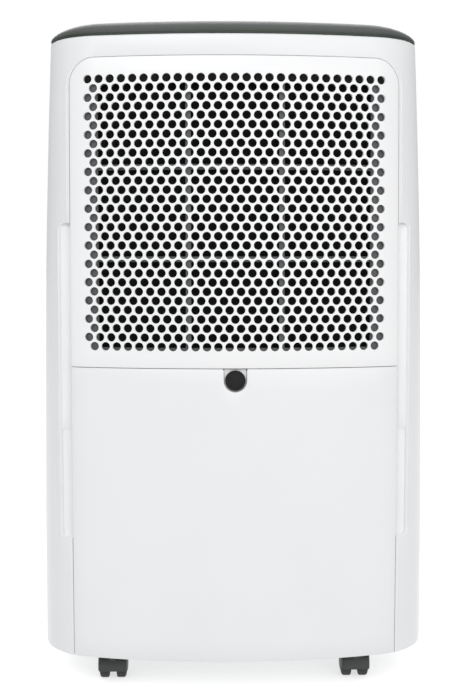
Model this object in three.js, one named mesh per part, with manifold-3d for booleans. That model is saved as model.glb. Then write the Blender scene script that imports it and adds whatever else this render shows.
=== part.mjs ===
// A free-standing compressor dehumidifier on four castors, with its intake side facing -Y.
// Millimetres, +Z up, origin on the floor under the middle of the casing.
import * as THREE from "three";
import { mergeVertices } from "three/addons/utils/BufferGeometryUtils.js";
import Module from "manifold-3d";

const wasm = await Module();
wasm.setup();

// ---------------------------------------------------------------- driving dimensions

const clearance = 0.4; // between two pieces that are assembled face to face
const seam = 0.6; // visible gap round a panel that comes off
const running = 0.35; // radial play of a pin or a stem that turns

const wheel = { radius: 12, width: 8.2, bore: 2.75, sides: 16 };
const castor = {
  fromSide: 54.75,
  fromFace: 43,
  trail: 7,
  webWidth: 5.4,
  hoodWall: 1.1,
  hoodGap: 0.7,
  underBase: 4.4306,
  stemRadius: 4,
  stemLength: 15,
  bossRadius: 6.5,
};
const axleZ = wheel.radius * Math.cos(Math.PI / wheel.sides);
const hoodTop = axleZ + wheel.radius + castor.hoodGap + castor.hoodWall;

// The casing's plan is a shallow rear arc, round corners and straight sides, the same at the front.
// It narrows towards the top: shrink = taper * (height share) ^ taperPower.
const body = {
  width: 304.5,
  depth: 220,
  bottom: hoodTop + castor.underBase,
  height: 474,
  wall: 2.8,
  faceRadius: 474.7,
  cornerRadius: 51.6,
  sideTaper: 0.061,
  faceTaper: 0.129,
  taperPower: 2.12,
  shellSplit: 12,
};
const column = { width: 27, jamb: 2.8, jambDepth: 44 };
const panel = { thickness: 2.6, topStrip: 16.1, topRadius: 20, rim: 2.4, rimDepth: 8, lintel: 31 };
const lid = { height: 13, crown: 22, crownPower: 1.5, wall: 2.8, skirt: 10 };

const tank = {
  faceHeight: 225.1,
  sideGap: 6,
  floorHeight: 22,
  headroom: 55.1,
  depth: 94,
  wall: 2.4,
  lidThickness: 5,
};
const notch = { width: 17.3, depth: 17.4 };
const groove = { width: 8.4, length: 242, low: 122.6, depth: 10.5, corner: 4, land: 3.5 };

// Round holes stand in rows; one hexagonal hole here stands for a cluster of them.
const holes = { pitchX: 8.5, pitchZ: 6.89, border: 10, diameter: 5.9, cluster: 3 };
const filter = { thickness: 5, border: 14, edge: 6.5, rib: 4, mesh: 0.5, windows: 3, corner: 8 };

const base = { floor: 3.5, rim: 2.5, rimHeight: 19, railWidth: 6, railX: 60, socketWall: 4 };

const nozzle = { outer: 7, inner: 4, below: 8.8, rail: 3, railHeight: 20, railBehind: 21.2, ear: 9 };
const plug = { radius: 7.9, flange: 2.6, shank: 12, recess: 0.8 };
const drip = { wall: 2, height: 14, above: 6.9, sumpDepth: 10, sumpWidth: 22, sumpDrop: 25 };

const coil = {
  behindFace: 36,
  behindFilter: 2.5,
  gap: 5,
  side: 15,
  bendRadius: 8,
  bendPitch: 44,
  top: 34,
  plate: 1.5,
};
const evaporator = { thickness: 22, tube: 5 };
const condenser = { thickness: 22, tube: 5 };

const fan = { radius: 64, width: 48, blades: 14, blade: 9, hub: 12, plate: 2, ring: 3, centreUp: 120.3 };
const scroll = { gap: 5, wall: 2, depth: 60, small: 75, large: 92, inlet: 60, flare: 16 };
const motor = { radius: 36, length: 33, shaft: 4, flange: 3 };
const deck = { thickness: 2, side: 14, depth: 100 };

const compressor = { radius: 50, height: 158, x: 30, dome: 22, foot: 3, footReach: 60, gap: 4 };
const mount = { radius: 9, height: 12, circle: 46 };
const accumulator = { radius: 17, height: 120, gap: 8, lift: 40 };
const pipe = { suction: 4.5, discharge: 3.2, capillary: 1.6 };
const drier = { radius: 8, length: 60 };

const box = { width: 76, depth: 24, height: 104, wall: 2, fromCentre: 52, lift: 18 };
const capacitor = { radius: 8, height: 60 };
const board = { thickness: 1.6, edge: 4 };

const handle = { span: 132, reach: 36, bar: 9, arm: 7, pin: 2.5, wellDepth: 15, wellWall: 2.5, rear: 8 };
const outlet = {
  width: 184,
  depth: 42,
  inScroll: 10,
  toControls: 4,
  collar: 2.5,
  collarDepth: 20,
  vane: 1.6,
  vanes: 8,
};
const louvre = { thickness: 2.6, pin: 1.5, hingeIn: 2.2 };
const controls = { width: 160, depth: 32, plate: 1.4, ledge: 2.5, front: 5.5 };
const display = { width: 40, depth: 10, thickness: 2.2, fromRear: 3 };
const button = { radius: 5.6, pitch: 24, height: 9, flange: 1.4, fromFront: 10.5, travel: 1 };
const buttonNames = ["power", "mode", "fan_speed", "timer", "humidity"];

const inlet = { radius: 9, length: 14, y: 20, z: 40 };
const tankHandle = { span: 140, reach: 38, bar: 7, pin: 2, pivotFromRear: 41, lift: 4.5 };
const float = { width: 30, depth: 22, height: 18, arm: 44, drop: 22, pin: 1.8, x: -88, fromRear: 17 };

// ---------------------------------------------------------------- places that follow from them

const halfWidth = body.width / 2;
const halfDepth = body.depth / 2;
const cornerX = halfWidth - body.cornerRadius;
const cornerY =
  halfDepth -
  body.faceRadius +
  Math.sqrt((body.faceRadius - body.cornerRadius) ** 2 - cornerX ** 2);
const arcY = halfDepth - body.faceRadius;
const cornerAngle = Math.atan2(cornerY - arcY, cornerX);

// How far the plan's rear line stands from the middle, at a distance from the centre line.
function rearLine(x) {
  const inCorner = Math.abs(x) > body.faceRadius * Math.cos(cornerAngle);
  if (!inCorner) return -arcY - Math.sqrt(body.faceRadius ** 2 - x ** 2);
  return -cornerY - Math.sqrt(body.cornerRadius ** 2 - (Math.abs(x) - cornerX) ** 2);
}

function narrowing(z) {
  const share = Math.min(Math.max((z - body.bottom) / body.height, 0), 1) ** body.taperPower;
  return [1 - body.sideTaper * share, 1 - body.faceTaper * share];
}

const top = body.bottom + body.height;
const lidTop = top + lid.height;
const openingHalf = halfWidth - column.width;
const panelHalf = openingHalf - seam;
const openingTop = top - panel.topStrip;
const faceTop = body.bottom + tank.faceHeight;
const grilleBottom = faceTop + seam;
const grilleTop = openingTop - seam;
const fieldCentre = (grilleBottom + grilleTop) / 2;
const holesIn = (room, pitch) => Math.floor((room - 2 * holes.border - holes.diameter) / pitch) + 1;
const holeColumns = holesIn(2 * panelHalf, holes.pitchX);
const holeRows = holesIn(grilleTop - grilleBottom, holes.pitchZ);
const fieldHalfWidth = ((holeColumns - 1) / 2) * holes.pitchX + holes.diameter / 2;
const fieldHalfHeight = ((holeRows - 1) / 2) * holes.pitchZ + holes.diameter / 2;
const rearY = -halfDepth;
const plugZ = faceTop - nozzle.below;
const railY = Math.max(
  rearY + body.wall + nozzle.railBehind,
  rearLine(openingHalf) * narrowing(faceTop)[1] + panel.thickness + clearance,
);
const filterDepth = panel.thickness + filter.thickness + filter.mesh + 3 * clearance;
const coilHalf = openingHalf - coil.side - evaporator.tube;
const coilTop = openingTop - coil.top / 2;
const evaporatorY = Math.max(
  rearY + coil.behindFace,
  rearLine(coilHalf + coil.plate) * narrowing(coilTop)[1] + filterDepth + coil.behindFilter,
);
const condenserY = evaporatorY + evaporator.thickness + coil.gap;
const scrollY = condenserY + condenser.thickness + scroll.gap;
const coilBottom = faceTop + drip.above + drip.height + clearance;
const fanZ = faceTop + fan.centreUp;
const tankBottom = body.bottom + tank.floorHeight;
const tankTop = faceTop - tank.headroom;
const tankHalf = panelHalf - tank.sideGap;
const tankBack = rearY + body.wall + tank.depth;
const partitionY = tankBack + 4;
const compressorY = partitionY + compressor.gap + compressor.radius;
const floorTop = body.bottom + base.floor;
const scrollDrop = scroll.small + ((scroll.large - scroll.small) * 2) / 3;
const deckTop = fanZ - scrollDrop - clearance;
const lidDeck = lidTop - lid.wall;

// ---------------------------------------------------------------- solids

// A closed geometry as a manifold solid, with its shared vertices merged.
function solidOf(geometry) {
  const bare = geometry.index ? geometry.toNonIndexed() : geometry.clone();
  bare.deleteAttribute("normal");
  bare.deleteAttribute("uv");
  const merged = mergeVertices(bare, 1e-4);
  const corners = Array.from(merged.index.array);
  const kept = [];
  for (let i = 0; i < corners.length; i += 3) {
    const [a, b, c] = corners.slice(i, i + 3);
    if (a !== b && b !== c && c !== a) kept.push(a, b, c);
  }
  const vertProperties = new Float32Array(merged.attributes.position.array);
  const build = (list) =>
    new wasm.Manifold(
      new wasm.Mesh({ numProp: 3, vertProperties, triVerts: new Uint32Array(list) }),
    );
  const made = build(kept);
  return made.volume() < 0 ? build(kept.reverse()) : made;
}

function meshOf(name, solid, material) {
  const shape = solid.getMesh();
  const geometry = new THREE.BufferGeometry();
  const positions = new Float32Array(shape.numVert * 3);
  for (let i = 0; i < shape.numVert; i += 1) {
    const first = i * shape.numProp;
    positions.set(shape.vertProperties.subarray(first, first + 3), i * 3);
  }
  geometry.setAttribute("position", new THREE.BufferAttribute(positions, 3));
  geometry.setIndex(new THREE.BufferAttribute(shape.triVerts, 1));
  geometry.computeVertexNormals();
  const mesh = new THREE.Mesh(geometry, material);
  mesh.name = name;
  return mesh;
}

const join = (first, ...rest) => rest.reduce((sum, next) => sum.add(next), first);
const cut = (first, ...rest) => rest.reduce((left, next) => left.subtract(next), first);

function block(x0, x1, y0, y1, z0, z1) {
  const geometry = new THREE.BoxGeometry(x1 - x0, y1 - y0, z1 - z0);
  return solidOf(geometry.translate((x0 + x1) / 2, (y0 + y1) / 2, (z0 + z1) / 2));
}

// A cylinder along an axis, from one place on it to another, with u and v on the other two axes.
function rod(axis, radius, from, to, u, v, sides = 14) {
  const geometry = new THREE.CylinderGeometry(radius, radius, to - from, sides);
  const middle = (from + to) / 2;
  if (axis === "x") return solidOf(geometry.rotateZ(-Math.PI / 2).translate(middle, u, v));
  if (axis === "y") return solidOf(geometry.translate(u, middle, v));
  return solidOf(geometry.rotateX(Math.PI / 2).translate(u, v, middle));
}

const flat = (depth, curveSegments) => ({ depth, curveSegments, bevelEnabled: false });

// A shape drawn in X and Z, run along Y.
function prismY(shape, y0, y1, curveSegments = 3) {
  const geometry = new THREE.ExtrudeGeometry(shape, flat(y1 - y0, curveSegments));
  return solidOf(geometry.rotateX(Math.PI / 2).translate(0, y1, 0));
}

// A shape drawn in Y and Z, run along X.
function prismX(shape, x0, x1, curveSegments = 3) {
  const geometry = new THREE.ExtrudeGeometry(shape, flat(x1 - x0, curveSegments));
  const turn = new THREE.Matrix4().makeBasis(
    new THREE.Vector3(0, 1, 0),
    new THREE.Vector3(0, 0, 1),
    new THREE.Vector3(1, 0, 0),
  );
  return solidOf(geometry.applyMatrix4(turn).translate(x0, 0, 0));
}

// A profile of [radius, height] pairs turned about the Z axis.
function turned(profile, sides = 20) {
  const points = profile.map(([radius, height]) => new THREE.Vector2(radius, height));
  return solidOf(new THREE.LatheGeometry(points, sides).rotateX(Math.PI / 2));
}

// A round bar along a smooth curve through the given points.
function tube(points, radius, steps = 18, sides = 6) {
  const curve = new THREE.CatmullRomCurve3(points.map((p) => new THREE.Vector3(...p)));
  const section = new THREE.Shape();
  for (let i = 0; i < sides; i += 1) {
    const angle = (2 * Math.PI * i) / sides;
    const place = [radius * Math.cos(angle), radius * Math.sin(angle)];
    if (i) section.lineTo(...place);
    else section.moveTo(...place);
  }
  const options = { steps, extrudePath: curve, bevelEnabled: false };
  return solidOf(new THREE.ExtrudeGeometry(section, options));
}

// ---------------------------------------------------------------- the casing's form

function planShape() {
  const { faceRadius, cornerRadius } = body;
  const half = Math.PI;
  const shape = new THREE.Shape();
  shape.absarc(cornerX, cornerY, cornerRadius, 0, cornerAngle);
  shape.absarc(0, arcY, faceRadius, cornerAngle, half - cornerAngle);
  shape.absarc(-cornerX, cornerY, cornerRadius, half - cornerAngle, half);
  shape.absarc(-cornerX, -cornerY, cornerRadius, half, half + cornerAngle);
  shape.absarc(0, -arcY, faceRadius, half + cornerAngle, 2 * half - cornerAngle);
  shape.absarc(cornerX, -cornerY, cornerRadius, 2 * half - cornerAngle, 2 * half);
  return shape;
}

// A point of the plan, moved inwards square to the outline.
function moveIn(x, y, inset) {
  const outwards = new THREE.Vector2(Math.sign(x), 0);
  if (Math.abs(y) > cornerY) {
    const inCorner = Math.atan2(Math.abs(y) - arcY, Math.abs(x)) < cornerAngle;
    const centre = inCorner ? [Math.sign(x) * cornerX, cornerY] : [0, arcY];
    outwards.set(x - centre[0], y - Math.sign(y) * centre[1]).normalize();
  }
  return [x - outwards.x * inset, y - outwards.y * inset];
}

// A solid through [height, inset] levels of the plan.
function loft(levels) {
  const count = levels.length - 1;
  const options = { depth: count, steps: count, curveSegments: 3, bevelEnabled: false };
  const geometry = new THREE.ExtrudeGeometry(planShape(), options);
  const place = geometry.attributes.position;
  for (let i = 0; i < place.count; i += 1) {
    const [z, inset] = levels[Math.round(place.getZ(i))];
    const [x, y] = moveIn(place.getX(i), place.getY(i), inset);
    const [sx, sy] = narrowing(z);
    place.setXYZ(i, x * sx, y * sy, z);
  }
  return solidOf(geometry);
}

const bodyLevels = 4;

// The casing's outer form, or one an inset smaller that runs past both ends.
function bodyForm(inset, past = inset > 0 ? 1 : 0) {
  const levels = [];
  for (let i = 0; i <= bodyLevels; i += 1) {
    levels.push([body.bottom + (body.height * i) / bodyLevels, inset]);
  }
  if (past) {
    levels.unshift([body.bottom - past, inset]);
    levels.push([top + past, inset]);
  }
  return loft(levels);
}

const outerForm = bodyForm(0);
const skin = (from, to) => (from ? bodyForm(from, 0.5) : outerForm).subtract(bodyForm(to));

// An upright outline with round upper corners.
function archShape(half, z0, z1, radius) {
  const shape = new THREE.Shape();
  shape.moveTo(-half, z0);
  shape.lineTo(half, z0);
  if (radius) {
    shape.absarc(half - radius, z1 - radius, radius, 0, Math.PI / 2);
    shape.absarc(radius - half, z1 - radius, radius, Math.PI / 2, Math.PI);
  } else {
    shape.lineTo(half, z1);
    shape.lineTo(-half, z1);
  }
  shape.closePath();
  return shape;
}

const past = 20; // how far a cutter runs past what it cuts
const behind = rearY - past;

// ---------------------------------------------------------------- materials

const finish = (color, roughness, metalness = 0) => ({ color, roughness, metalness });
const finishes = {
  whiteShell: finish(0xf3f4f5, 0.32),
  whiteGrille: finish(0xf8f8f8, 0.38),
  darkLid: finish(0x4f5350, 0.42),
  blackGloss: finish(0x101112, 0.1),
  greyPlastic: finish(0x8c8f91, 0.5),
  filterGrey: finish(0x58595b, 0.6),
  filterNet: finish(0x1c1c1d, 0.85),
  castorGrey: finish(0x333635, 0.5),
  tyreGrey: finish(0x2a2c2c, 0.75),
  rubber: finish(0x2a2a2a, 0.8),
  clearTank: finish(0xdfe6ea, 0.25),
  blackPaint: finish(0x161718, 0.45, 0.3),
  copper: finish(0xb5683f, 0.3, 1),
  fins: finish(0xc4c9cc, 0.35, 0.9),
  galvanised: finish(0xa9adaf, 0.4, 0.8),
  boardGreen: finish(0x1f5a3a, 0.5),
};
const paint = (name) => new THREE.MeshStandardMaterial(finishes[name]);

// ---------------------------------------------------------------- casing

const insideWall = body.wall + clearance;

function grooveShape(side) {
  const inner = openingHalf - panel.rim;
  const outer = openingHalf + groove.width;
  const high = groove.low + groove.length;
  const r = groove.corner;
  const shape = new THREE.Shape();
  shape.moveTo(inner, groove.low);
  shape.lineTo(outer - r, groove.low);
  shape.lineTo(outer, groove.low + r);
  shape.lineTo(outer, high - r);
  shape.lineTo(outer - r, high);
  shape.lineTo(inner, high);
  shape.closePath();
  if (side > 0) return shape;
  return new THREE.Shape(shape.getPoints(1).map((p) => new THREE.Vector2(-p.x, p.y)));
}

function rearShell() {
  const splitY = body.shellSplit - clearance;
  const opening = prismY(archShape(openingHalf, 0, openingTop, panel.topRadius), behind, 0);
  const ring = skin(0, body.wall).intersect(
    block(-halfWidth - 1, halfWidth + 1, behind, splitY, 0, top + 1),
  );
  const parts = [];
  const cuts = [];
  for (const side of [-1, 1]) {
    const near = side * openingHalf;
    const jamb = near + side * column.jamb;
    const jambEnd = rearY + column.jambDepth;
    const span = [near, jamb].sort((a, b) => a - b);
    parts.push(block(...span, behind, jambEnd, 0, openingTop).intersect(outerForm));
    const pad = [near, near + side * (groove.width + groove.land)].sort((a, b) => a - b);
    const low = groove.low - groove.land;
    const high = groove.low + groove.length + groove.land;
    const padBlock = block(...pad, behind, 0, low, high);
    parts.push(skin(body.wall / 2, groove.depth + 2.5).intersect(padBlock));
    cuts.push(prismY(grooveShape(side), behind, 0).subtract(bodyForm(groove.depth)));
  }
  const lintel = block(
    -openingHalf, openingHalf, behind, rearY + panel.lintel, openingTop, openingTop + 2.4,
  );
  const railBottom = faceTop - nozzle.railHeight;
  const rail = block(
    -openingHalf - 1, openingHalf + 1, railY, railY + nozzle.rail, railBottom, faceTop,
  );
  const ears = [-1, 1].map((side) => {
    const edges = [side * (openingHalf - nozzle.ear), side * (openingHalf + 1)].sort((a, b) => a - b);
    return block(...edges, railY, rearY + column.jambDepth, railBottom, faceTop);
  });
  const port = rod("y", nozzle.outer + clearance, railY - 1, railY + nozzle.rail + 1, 0, plugZ);
  const frame = join(cut(ring, opening), lintel.intersect(outerForm), ...parts);
  return cut(join(frame, rail, ...ears), port, ...cuts);
}

function frontShell() {
  const ring = skin(0, body.wall).intersect(
    block(-halfWidth - 1, halfWidth + 1, body.shellSplit, halfDepth + 1, 0, top + 1),
  );
  const hole = rod(
    "x", inlet.radius + clearance, halfWidth - past, halfWidth + past,
    body.shellSplit + inlet.y, body.bottom + inlet.z,
  );
  return ring.subtract(hole);
}

// Four castor sockets, a rim and two rails that carry the tank, on one floor.
function baseTray() {
  const rimTop = body.bottom + base.rimHeight;
  const inner = skin(insideWall, insideWall + base.rim);
  const all = (z0, z1) => block(-halfWidth, halfWidth, behind, halfDepth + 1, z0, z1);
  const floor = bodyForm(insideWall, 0.5).intersect(all(body.bottom, floorTop));
  const rim = inner.intersect(all(body.bottom, rimTop));
  const bay = block(
    -openingHalf - 1, openingHalf + 1, behind, rearY + column.jambDepth, floorTop, top,
  );
  const jambs = [-1, 1].map((side) => {
    const edges = [
      side * (openingHalf - clearance),
      side * (openingHalf + column.jamb + clearance),
    ].sort((a, b) => a - b);
    return block(...edges, behind, rearY + column.jambDepth + clearance, 0, top);
  });
  const railTop = tankBottom - clearance;
  const rails = [-1, 1].map((side) => {
    const x = side * base.railX;
    return block(
      x - base.railWidth / 2, x + base.railWidth / 2,
      rearY + past, tankBack - past / 2, floorTop - 1, railTop,
    );
  });
  const sockets = castorPlaces().map(({ x, y }) =>
    rod("z", castor.stemRadius + base.socketWall, body.bottom, tankBottom - 2, x, y, 12),
  );
  const bores = castorPlaces().map(({ x, y }) => {
    const bore = castor.stemRadius + running;
    return rod("z", bore, 0, body.bottom + castor.stemLength + 1, x, y, 12);
  });
  return cut(
    join(cut(join(floor, rim), bay), ...rails, ...sockets),
    ...jambs, ...bores,
  );
}

// ---------------------------------------------------------------- lid and what it carries

const deckRear = -halfDepth * (1 - body.faceTaper) + lid.crown;
const wellRear = deckRear + handle.rear;
const wellFront = wellRear + handle.reach + handle.bar + 2 * handle.pin + 2;
const handlePivotY = wellFront - handle.pin - 2;
const handlePivotZ = lidTop - handle.bar / 2 - 1.2;
const controlFront = -deckRear - controls.front;
const controlRear = controlFront - controls.depth;
const outletRear = Math.min(
  scrollY + outlet.inScroll,
  controlRear - outlet.toControls - outlet.depth,
);
const outletFront = outletRear + outlet.depth;

function crownInset(share) {
  return lid.crown * (1 - (1 - share ** lid.crownPower) ** (1 / lid.crownPower));
}

function topCover() {
  const levels = [];
  const inner = [];
  const steps = 3;
  for (let i = 0; i <= steps; i += 1) {
    const share = i / steps;
    levels.push([top + clearance + (lid.height - clearance) * share, crownInset(share)]);
    inner.push([top - 1 + (lidDeck - top + 1) * share, crownInset(share) + lid.wall]);
  }
  const shell = loft(levels).subtract(loft(inner));
  const skirt = [
    [top - lid.skirt, insideWall],
    [top + clearance + 1, insideWall],
  ];
  const skirtIn = [
    [top - lid.skirt - 1, insideWall + lid.wall],
    [top + clearance + 2, insideWall + lid.wall],
  ];
  const wellHalf = handle.span / 2 + handle.bar / 2 + 1;
  const wall = handle.wellWall;
  const wellFloor = lidTop - handle.wellDepth;
  const well = block(
    -wellHalf - wall, wellHalf + wall, wellRear - wall, wellFront + wall,
    wellFloor - wall, lidTop - 1,
  );
  const wellCut = block(-wellHalf, wellHalf, wellRear, wellFront, wellFloor, lidTop + 1);
  const pinBore = rod(
    "x", handle.pin + running, -wellHalf - wall - 1, wellHalf + wall + 1,
    handlePivotY, handlePivotZ, 12,
  );
  const half = outlet.width / 2;
  const collar = block(
    -half - outlet.collar, half + outlet.collar, outletRear - outlet.collar,
    outletFront + outlet.collar, lidTop - outlet.collarDepth, lidTop - 1,
  );
  const collarCut = block(-half, half, outletRear, outletFront, 0, lidTop + 1);
  const hinge = rod(
    "x", louvre.pin + running, -half - outlet.collar - 1, half + outlet.collar + 1,
    louvreY, louvreZ, 12,
  );
  const pocketHalf = controls.width / 2;
  const pocket = block(
    -pocketHalf, pocketHalf, controlRear, controlFront,
    lidTop - controls.plate - clearance, lidTop + 1,
  );
  const ledge = controls.ledge;
  const through = block(
    ledge - pocketHalf, pocketHalf - ledge, controlRear + ledge, controlFront - ledge,
    lidDeck - 2, lidTop + 1,
  );
  return cut(
    join(shell, loft(skirt).subtract(loft(skirtIn)), well, collar),
    wellCut, pinBore, collarCut, hinge, pocket, through,
  );
}

const louvreY = outletRear + 1.4 + louvre.hingeIn;
const louvreZ = lidTop - louvre.thickness + 0.2;

function outletLouvre() {
  const half = outlet.width / 2 - seam;
  const flap = block(
    -half, half, outletRear + 1.4, outletFront - seam, lidTop - louvre.thickness, lidTop,
  );
  const barrel = rod("x", louvre.pin, -half - 2.2, half + 2.2, louvreY, louvreZ, 12);
  return flap.add(barrel);
}

function outletGrille() {
  const half = outlet.width / 2 - clearance;
  const y0 = outletRear + clearance;
  const y1 = outletFront - clearance;
  const z0 = lidTop - outlet.collarDepth;
  const z1 = z0 + 7;
  const edge = 2;
  const frame = block(-half, half, y0, y1, z0, z1).subtract(
    block(edge - half, half - edge, y0 + edge, y1 - edge, z0 - 1, z1 + 1),
  );
  const vanes = [];
  for (let i = 1; i <= outlet.vanes; i += 1) {
    const x = -half + (2 * half * i) / (outlet.vanes + 1);
    vanes.push(block(x - outlet.vane / 2, x + outlet.vane / 2, y0 + 1, y1 - 1, z0 + 1, z1 - 1));
  }
  return join(frame, ...vanes);
}

function carryHandle() {
  const half = handle.span / 2;
  const barY = handlePivotY - handle.reach;
  const thick = handle.bar / 2;
  const bar = rod("x", thick, -half, half, barY, handlePivotZ, 10);
  const arms = [-1, 1].flatMap((side) => {
    const edges = [side * half, side * (half - handle.arm)].sort((a, b) => a - b);
    const pin = [side * (half - 1), side * (half + thick + 1 + handle.wellWall - 0.4)];
    return [
      block(...edges, barY, handlePivotY, handlePivotZ - thick + 1, handlePivotZ + thick - 1),
      rod("x", thick - 0.5, ...edges, handlePivotY, handlePivotZ, 10),
      rod("x", handle.pin, ...pin.sort((a, b) => a - b), handlePivotY, handlePivotZ, 12),
    ];
  });
  return join(bar, ...arms);
}

const buttonY = controlFront - button.fromFront;
const buttonX = (i) => (i - (buttonNames.length - 1) / 2) * button.pitch;
const displayRear = controlRear + display.fromRear;

function controlPanel() {
  const half = controls.width / 2 - clearance;
  const z1 = lidTop - 0.2;
  const z0 = z1 - controls.plate;
  const plate = block(
    -half, half, controlRear + clearance, controlFront - clearance, z0, z1,
  );
  const window = block(
    -display.width / 2 - clearance, display.width / 2 + clearance, displayRear - clearance,
    displayRear + display.depth + clearance, z0 - 1, z1 + 1,
  );
  const bores = buttonNames.map((_, i) =>
    rod("z", button.radius + clearance, z0 - 1, z1 + 1, buttonX(i), buttonY),
  );
  return cut(plate, window, ...bores);
}

function displayWindow() {
  const z1 = lidTop - 0.3;
  return block(
    -display.width / 2, display.width / 2, displayRear, displayRear + display.depth,
    z1 - display.thickness, z1,
  );
}

// One cap with the flange that holds it under the plate, about its own top centre.
function buttonCap() {
  const flangeTop = -controls.plate - 0.6;
  return turned([
    [0, -button.height],
    [button.radius - 1, -button.height],
    [button.radius - 1, flangeTop - button.flange],
    [button.radius + 1.4, flangeTop - button.flange],
    [button.radius + 1.4, flangeTop],
    [button.radius, flangeTop],
    [button.radius, 0],
    [0, 0],
  ], 10);
}

// ---------------------------------------------------------------- intake side

function rearGrille() {
  const outline = archShape(panelHalf, grilleBottom, grilleTop, panel.topRadius - seam);
  const inside = archShape(
    panelHalf - panel.rim, grilleBottom + panel.rim, grilleTop - panel.rim,
    panel.topRadius - seam - panel.rim,
  );
  const face = skin(0, panel.thickness).intersect(prismY(outline, behind, 0));
  const rim = skin(1, panel.rimDepth)
    .intersect(prismY(outline, behind, 0))
    .subtract(prismY(inside, behind - 1, 1));
  const pitchX = holes.pitchX * holes.cluster;
  const pitchZ = holes.pitchZ * holes.cluster;
  const columns = Math.floor(holeColumns / holes.cluster);
  const rows = Math.floor(holeRows / holes.cluster);
  const openShare = (Math.PI * (holes.diameter / 2) ** 2) / (holes.pitchX * holes.pitchZ);
  const hexRadius = Math.sqrt((openShare * pitchX * pitchZ) / (1.5 * Math.sqrt(3)));
  const cutters = [];
  for (let row = 0; row < rows; row += 1) {
    const count = row % 2 ? columns - 1 : columns;
    for (let i = 0; i < count; i += 1) {
      const x = (i - (count - 1) / 2) * pitchX;
      const z = fieldCentre + (row - (rows - 1) / 2) * pitchZ;
      cutters.push(rod("y", hexRadius, behind, 0, x, z, 6));
    }
  }
  const field = cutters.reduce((sum, next) => sum.add(next));
  return face.subtract(field).add(rim);
}

// The filter lies against the back of the grille: a frame with windows, and a net behind it.
const filterHalf = fieldHalfWidth - holes.diameter / 2 + filter.edge;
const filterBottom = fieldCentre - fieldHalfHeight - filter.edge;
const filterTop = fieldCentre + fieldHalfHeight + filter.edge;

function filterFrame() {
  const outline = archShape(filterHalf, filterBottom, filterTop, filter.corner);
  const from = panel.thickness + clearance;
  const slab = skin(from, from + filter.thickness).intersect(prismY(outline, behind, 0));
  const sideBorder = filter.border;
  const endBorder = filter.edge + holes.diameter / 2 - 1;
  const width = (2 * (filterHalf - sideBorder) - (filter.windows - 1) * filter.rib) / filter.windows;
  const height =
    (filterTop - filterBottom - 2 * endBorder - (filter.windows - 1) * filter.rib) / filter.windows;
  const openings = [];
  for (let column = 0; column < filter.windows; column += 1) {
    for (let row = 0; row < filter.windows; row += 1) {
      const x = sideBorder - filterHalf + column * (width + filter.rib);
      const z = filterBottom + endBorder + row * (height + filter.rib);
      openings.push(block(x, x + width, behind, 0, z, z + height));
    }
  }
  return cut(slab, ...openings);
}

function filterMesh() {
  const outline = archShape(filterHalf - 3, filterBottom + 3, filterTop - 3, filter.corner);
  const from = panel.thickness + filter.thickness + 2 * clearance;
  return skin(from, from + filter.mesh).intersect(prismY(outline, behind, 0));
}

// ---------------------------------------------------------------- tank

function notchCutter() {
  const radius = notch.width / 2;
  const low = faceTop - notch.depth + radius;
  const shape = new THREE.Shape();
  shape.moveTo(radius, low);
  shape.lineTo(radius, faceTop + 1);
  shape.lineTo(-radius, faceTop + 1);
  shape.lineTo(-radius, low);
  shape.absarc(0, low, radius, Math.PI, 2 * Math.PI);
  return prismY(shape, behind, rearY + past);
}

function tankFront() {
  const outline = archShape(panelHalf, body.bottom - 1, faceTop, 0);
  return skin(0, panel.thickness)
    .intersect(prismY(outline, behind, 0))
    .subtract(notchCutter());
}

function waterTank() {
  const from = panel.thickness + clearance;
  const outside = bodyForm(from, 0.5).intersect(
    block(-tankHalf, tankHalf, behind, tankBack, tankBottom, tankTop),
  );
  const wall = tank.wall;
  const inside = bodyForm(from + wall).intersect(
    block(wall - tankHalf, tankHalf - wall, behind, tankBack - wall, tankBottom + wall, top),
  );
  return outside.subtract(inside);
}

const tankPivotY = tankBack - tankHandle.pivotFromRear;
const tankLidTop = tankTop + clearance + tank.lidThickness;
const tankPivotZ = tankLidTop + tankHandle.lift;

function tankLid() {
  const from = panel.thickness + clearance;
  const z0 = tankTop + clearance;
  const plate = bodyForm(from, 0.5).intersect(
    block(-tankHalf, tankHalf, behind, tankBack, z0, tankLidTop),
  );
  const inlet = block(tankHalf - 50, tankHalf - 18, tankPivotY - 14, tankPivotY + 14, 0, top);
  const lugs = [-1, 1].map((side) => {
    const near = tankHandle.span / 2 + clearance;
    const edges = [side * near, side * (near + 5)].sort((a, b) => a - b);
    return block(
      ...edges, tankPivotY - 5, tankPivotY + 5, tankLidTop - 1, tankPivotZ + 4.5,
    );
  });
  const bore = rod(
    "x", tankHandle.pin + running, -tankHandle.span, tankHandle.span, tankPivotY, tankPivotZ, 12,
  );
  const hangers = [-1, 1].map((side) => {
    const near = float.x + side * (float.width / 4 + clearance);
    const edges = [near, near + side * 3].sort((a, b) => a - b);
    return block(...edges, floatY - 4, floatY + 4, floatZ - 4.5, z0 + 1);
  });
  const floatBore = rod(
    "x", float.pin + running, float.x - float.width, float.x + float.width, floatY, floatZ, 12,
  );
  return cut(join(plate, ...lugs, ...hangers), inlet, bore, floatBore);
}

function tankHandleBail() {
  const half = tankHandle.span / 2;
  const thick = tankHandle.bar / 2;
  const barY = tankPivotY + tankHandle.reach;
  const bar = rod("x", thick, -half, half, barY, tankPivotZ, 10);
  const arms = [-1, 1].flatMap((side) => {
    const edges = [side * half, side * (half - 6)].sort((a, b) => a - b);
    const pin = [side * (half - 1), side * (half + 5)].sort((a, b) => a - b);
    return [
      block(...edges, tankPivotY, barY, tankPivotZ - thick + 1, tankPivotZ + thick - 1),
      rod("x", thick, ...edges, tankPivotY, tankPivotZ, 10),
      rod("x", tankHandle.pin, ...pin, tankPivotY, tankPivotZ, 12),
    ];
  });
  return join(bar, ...arms);
}

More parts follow.
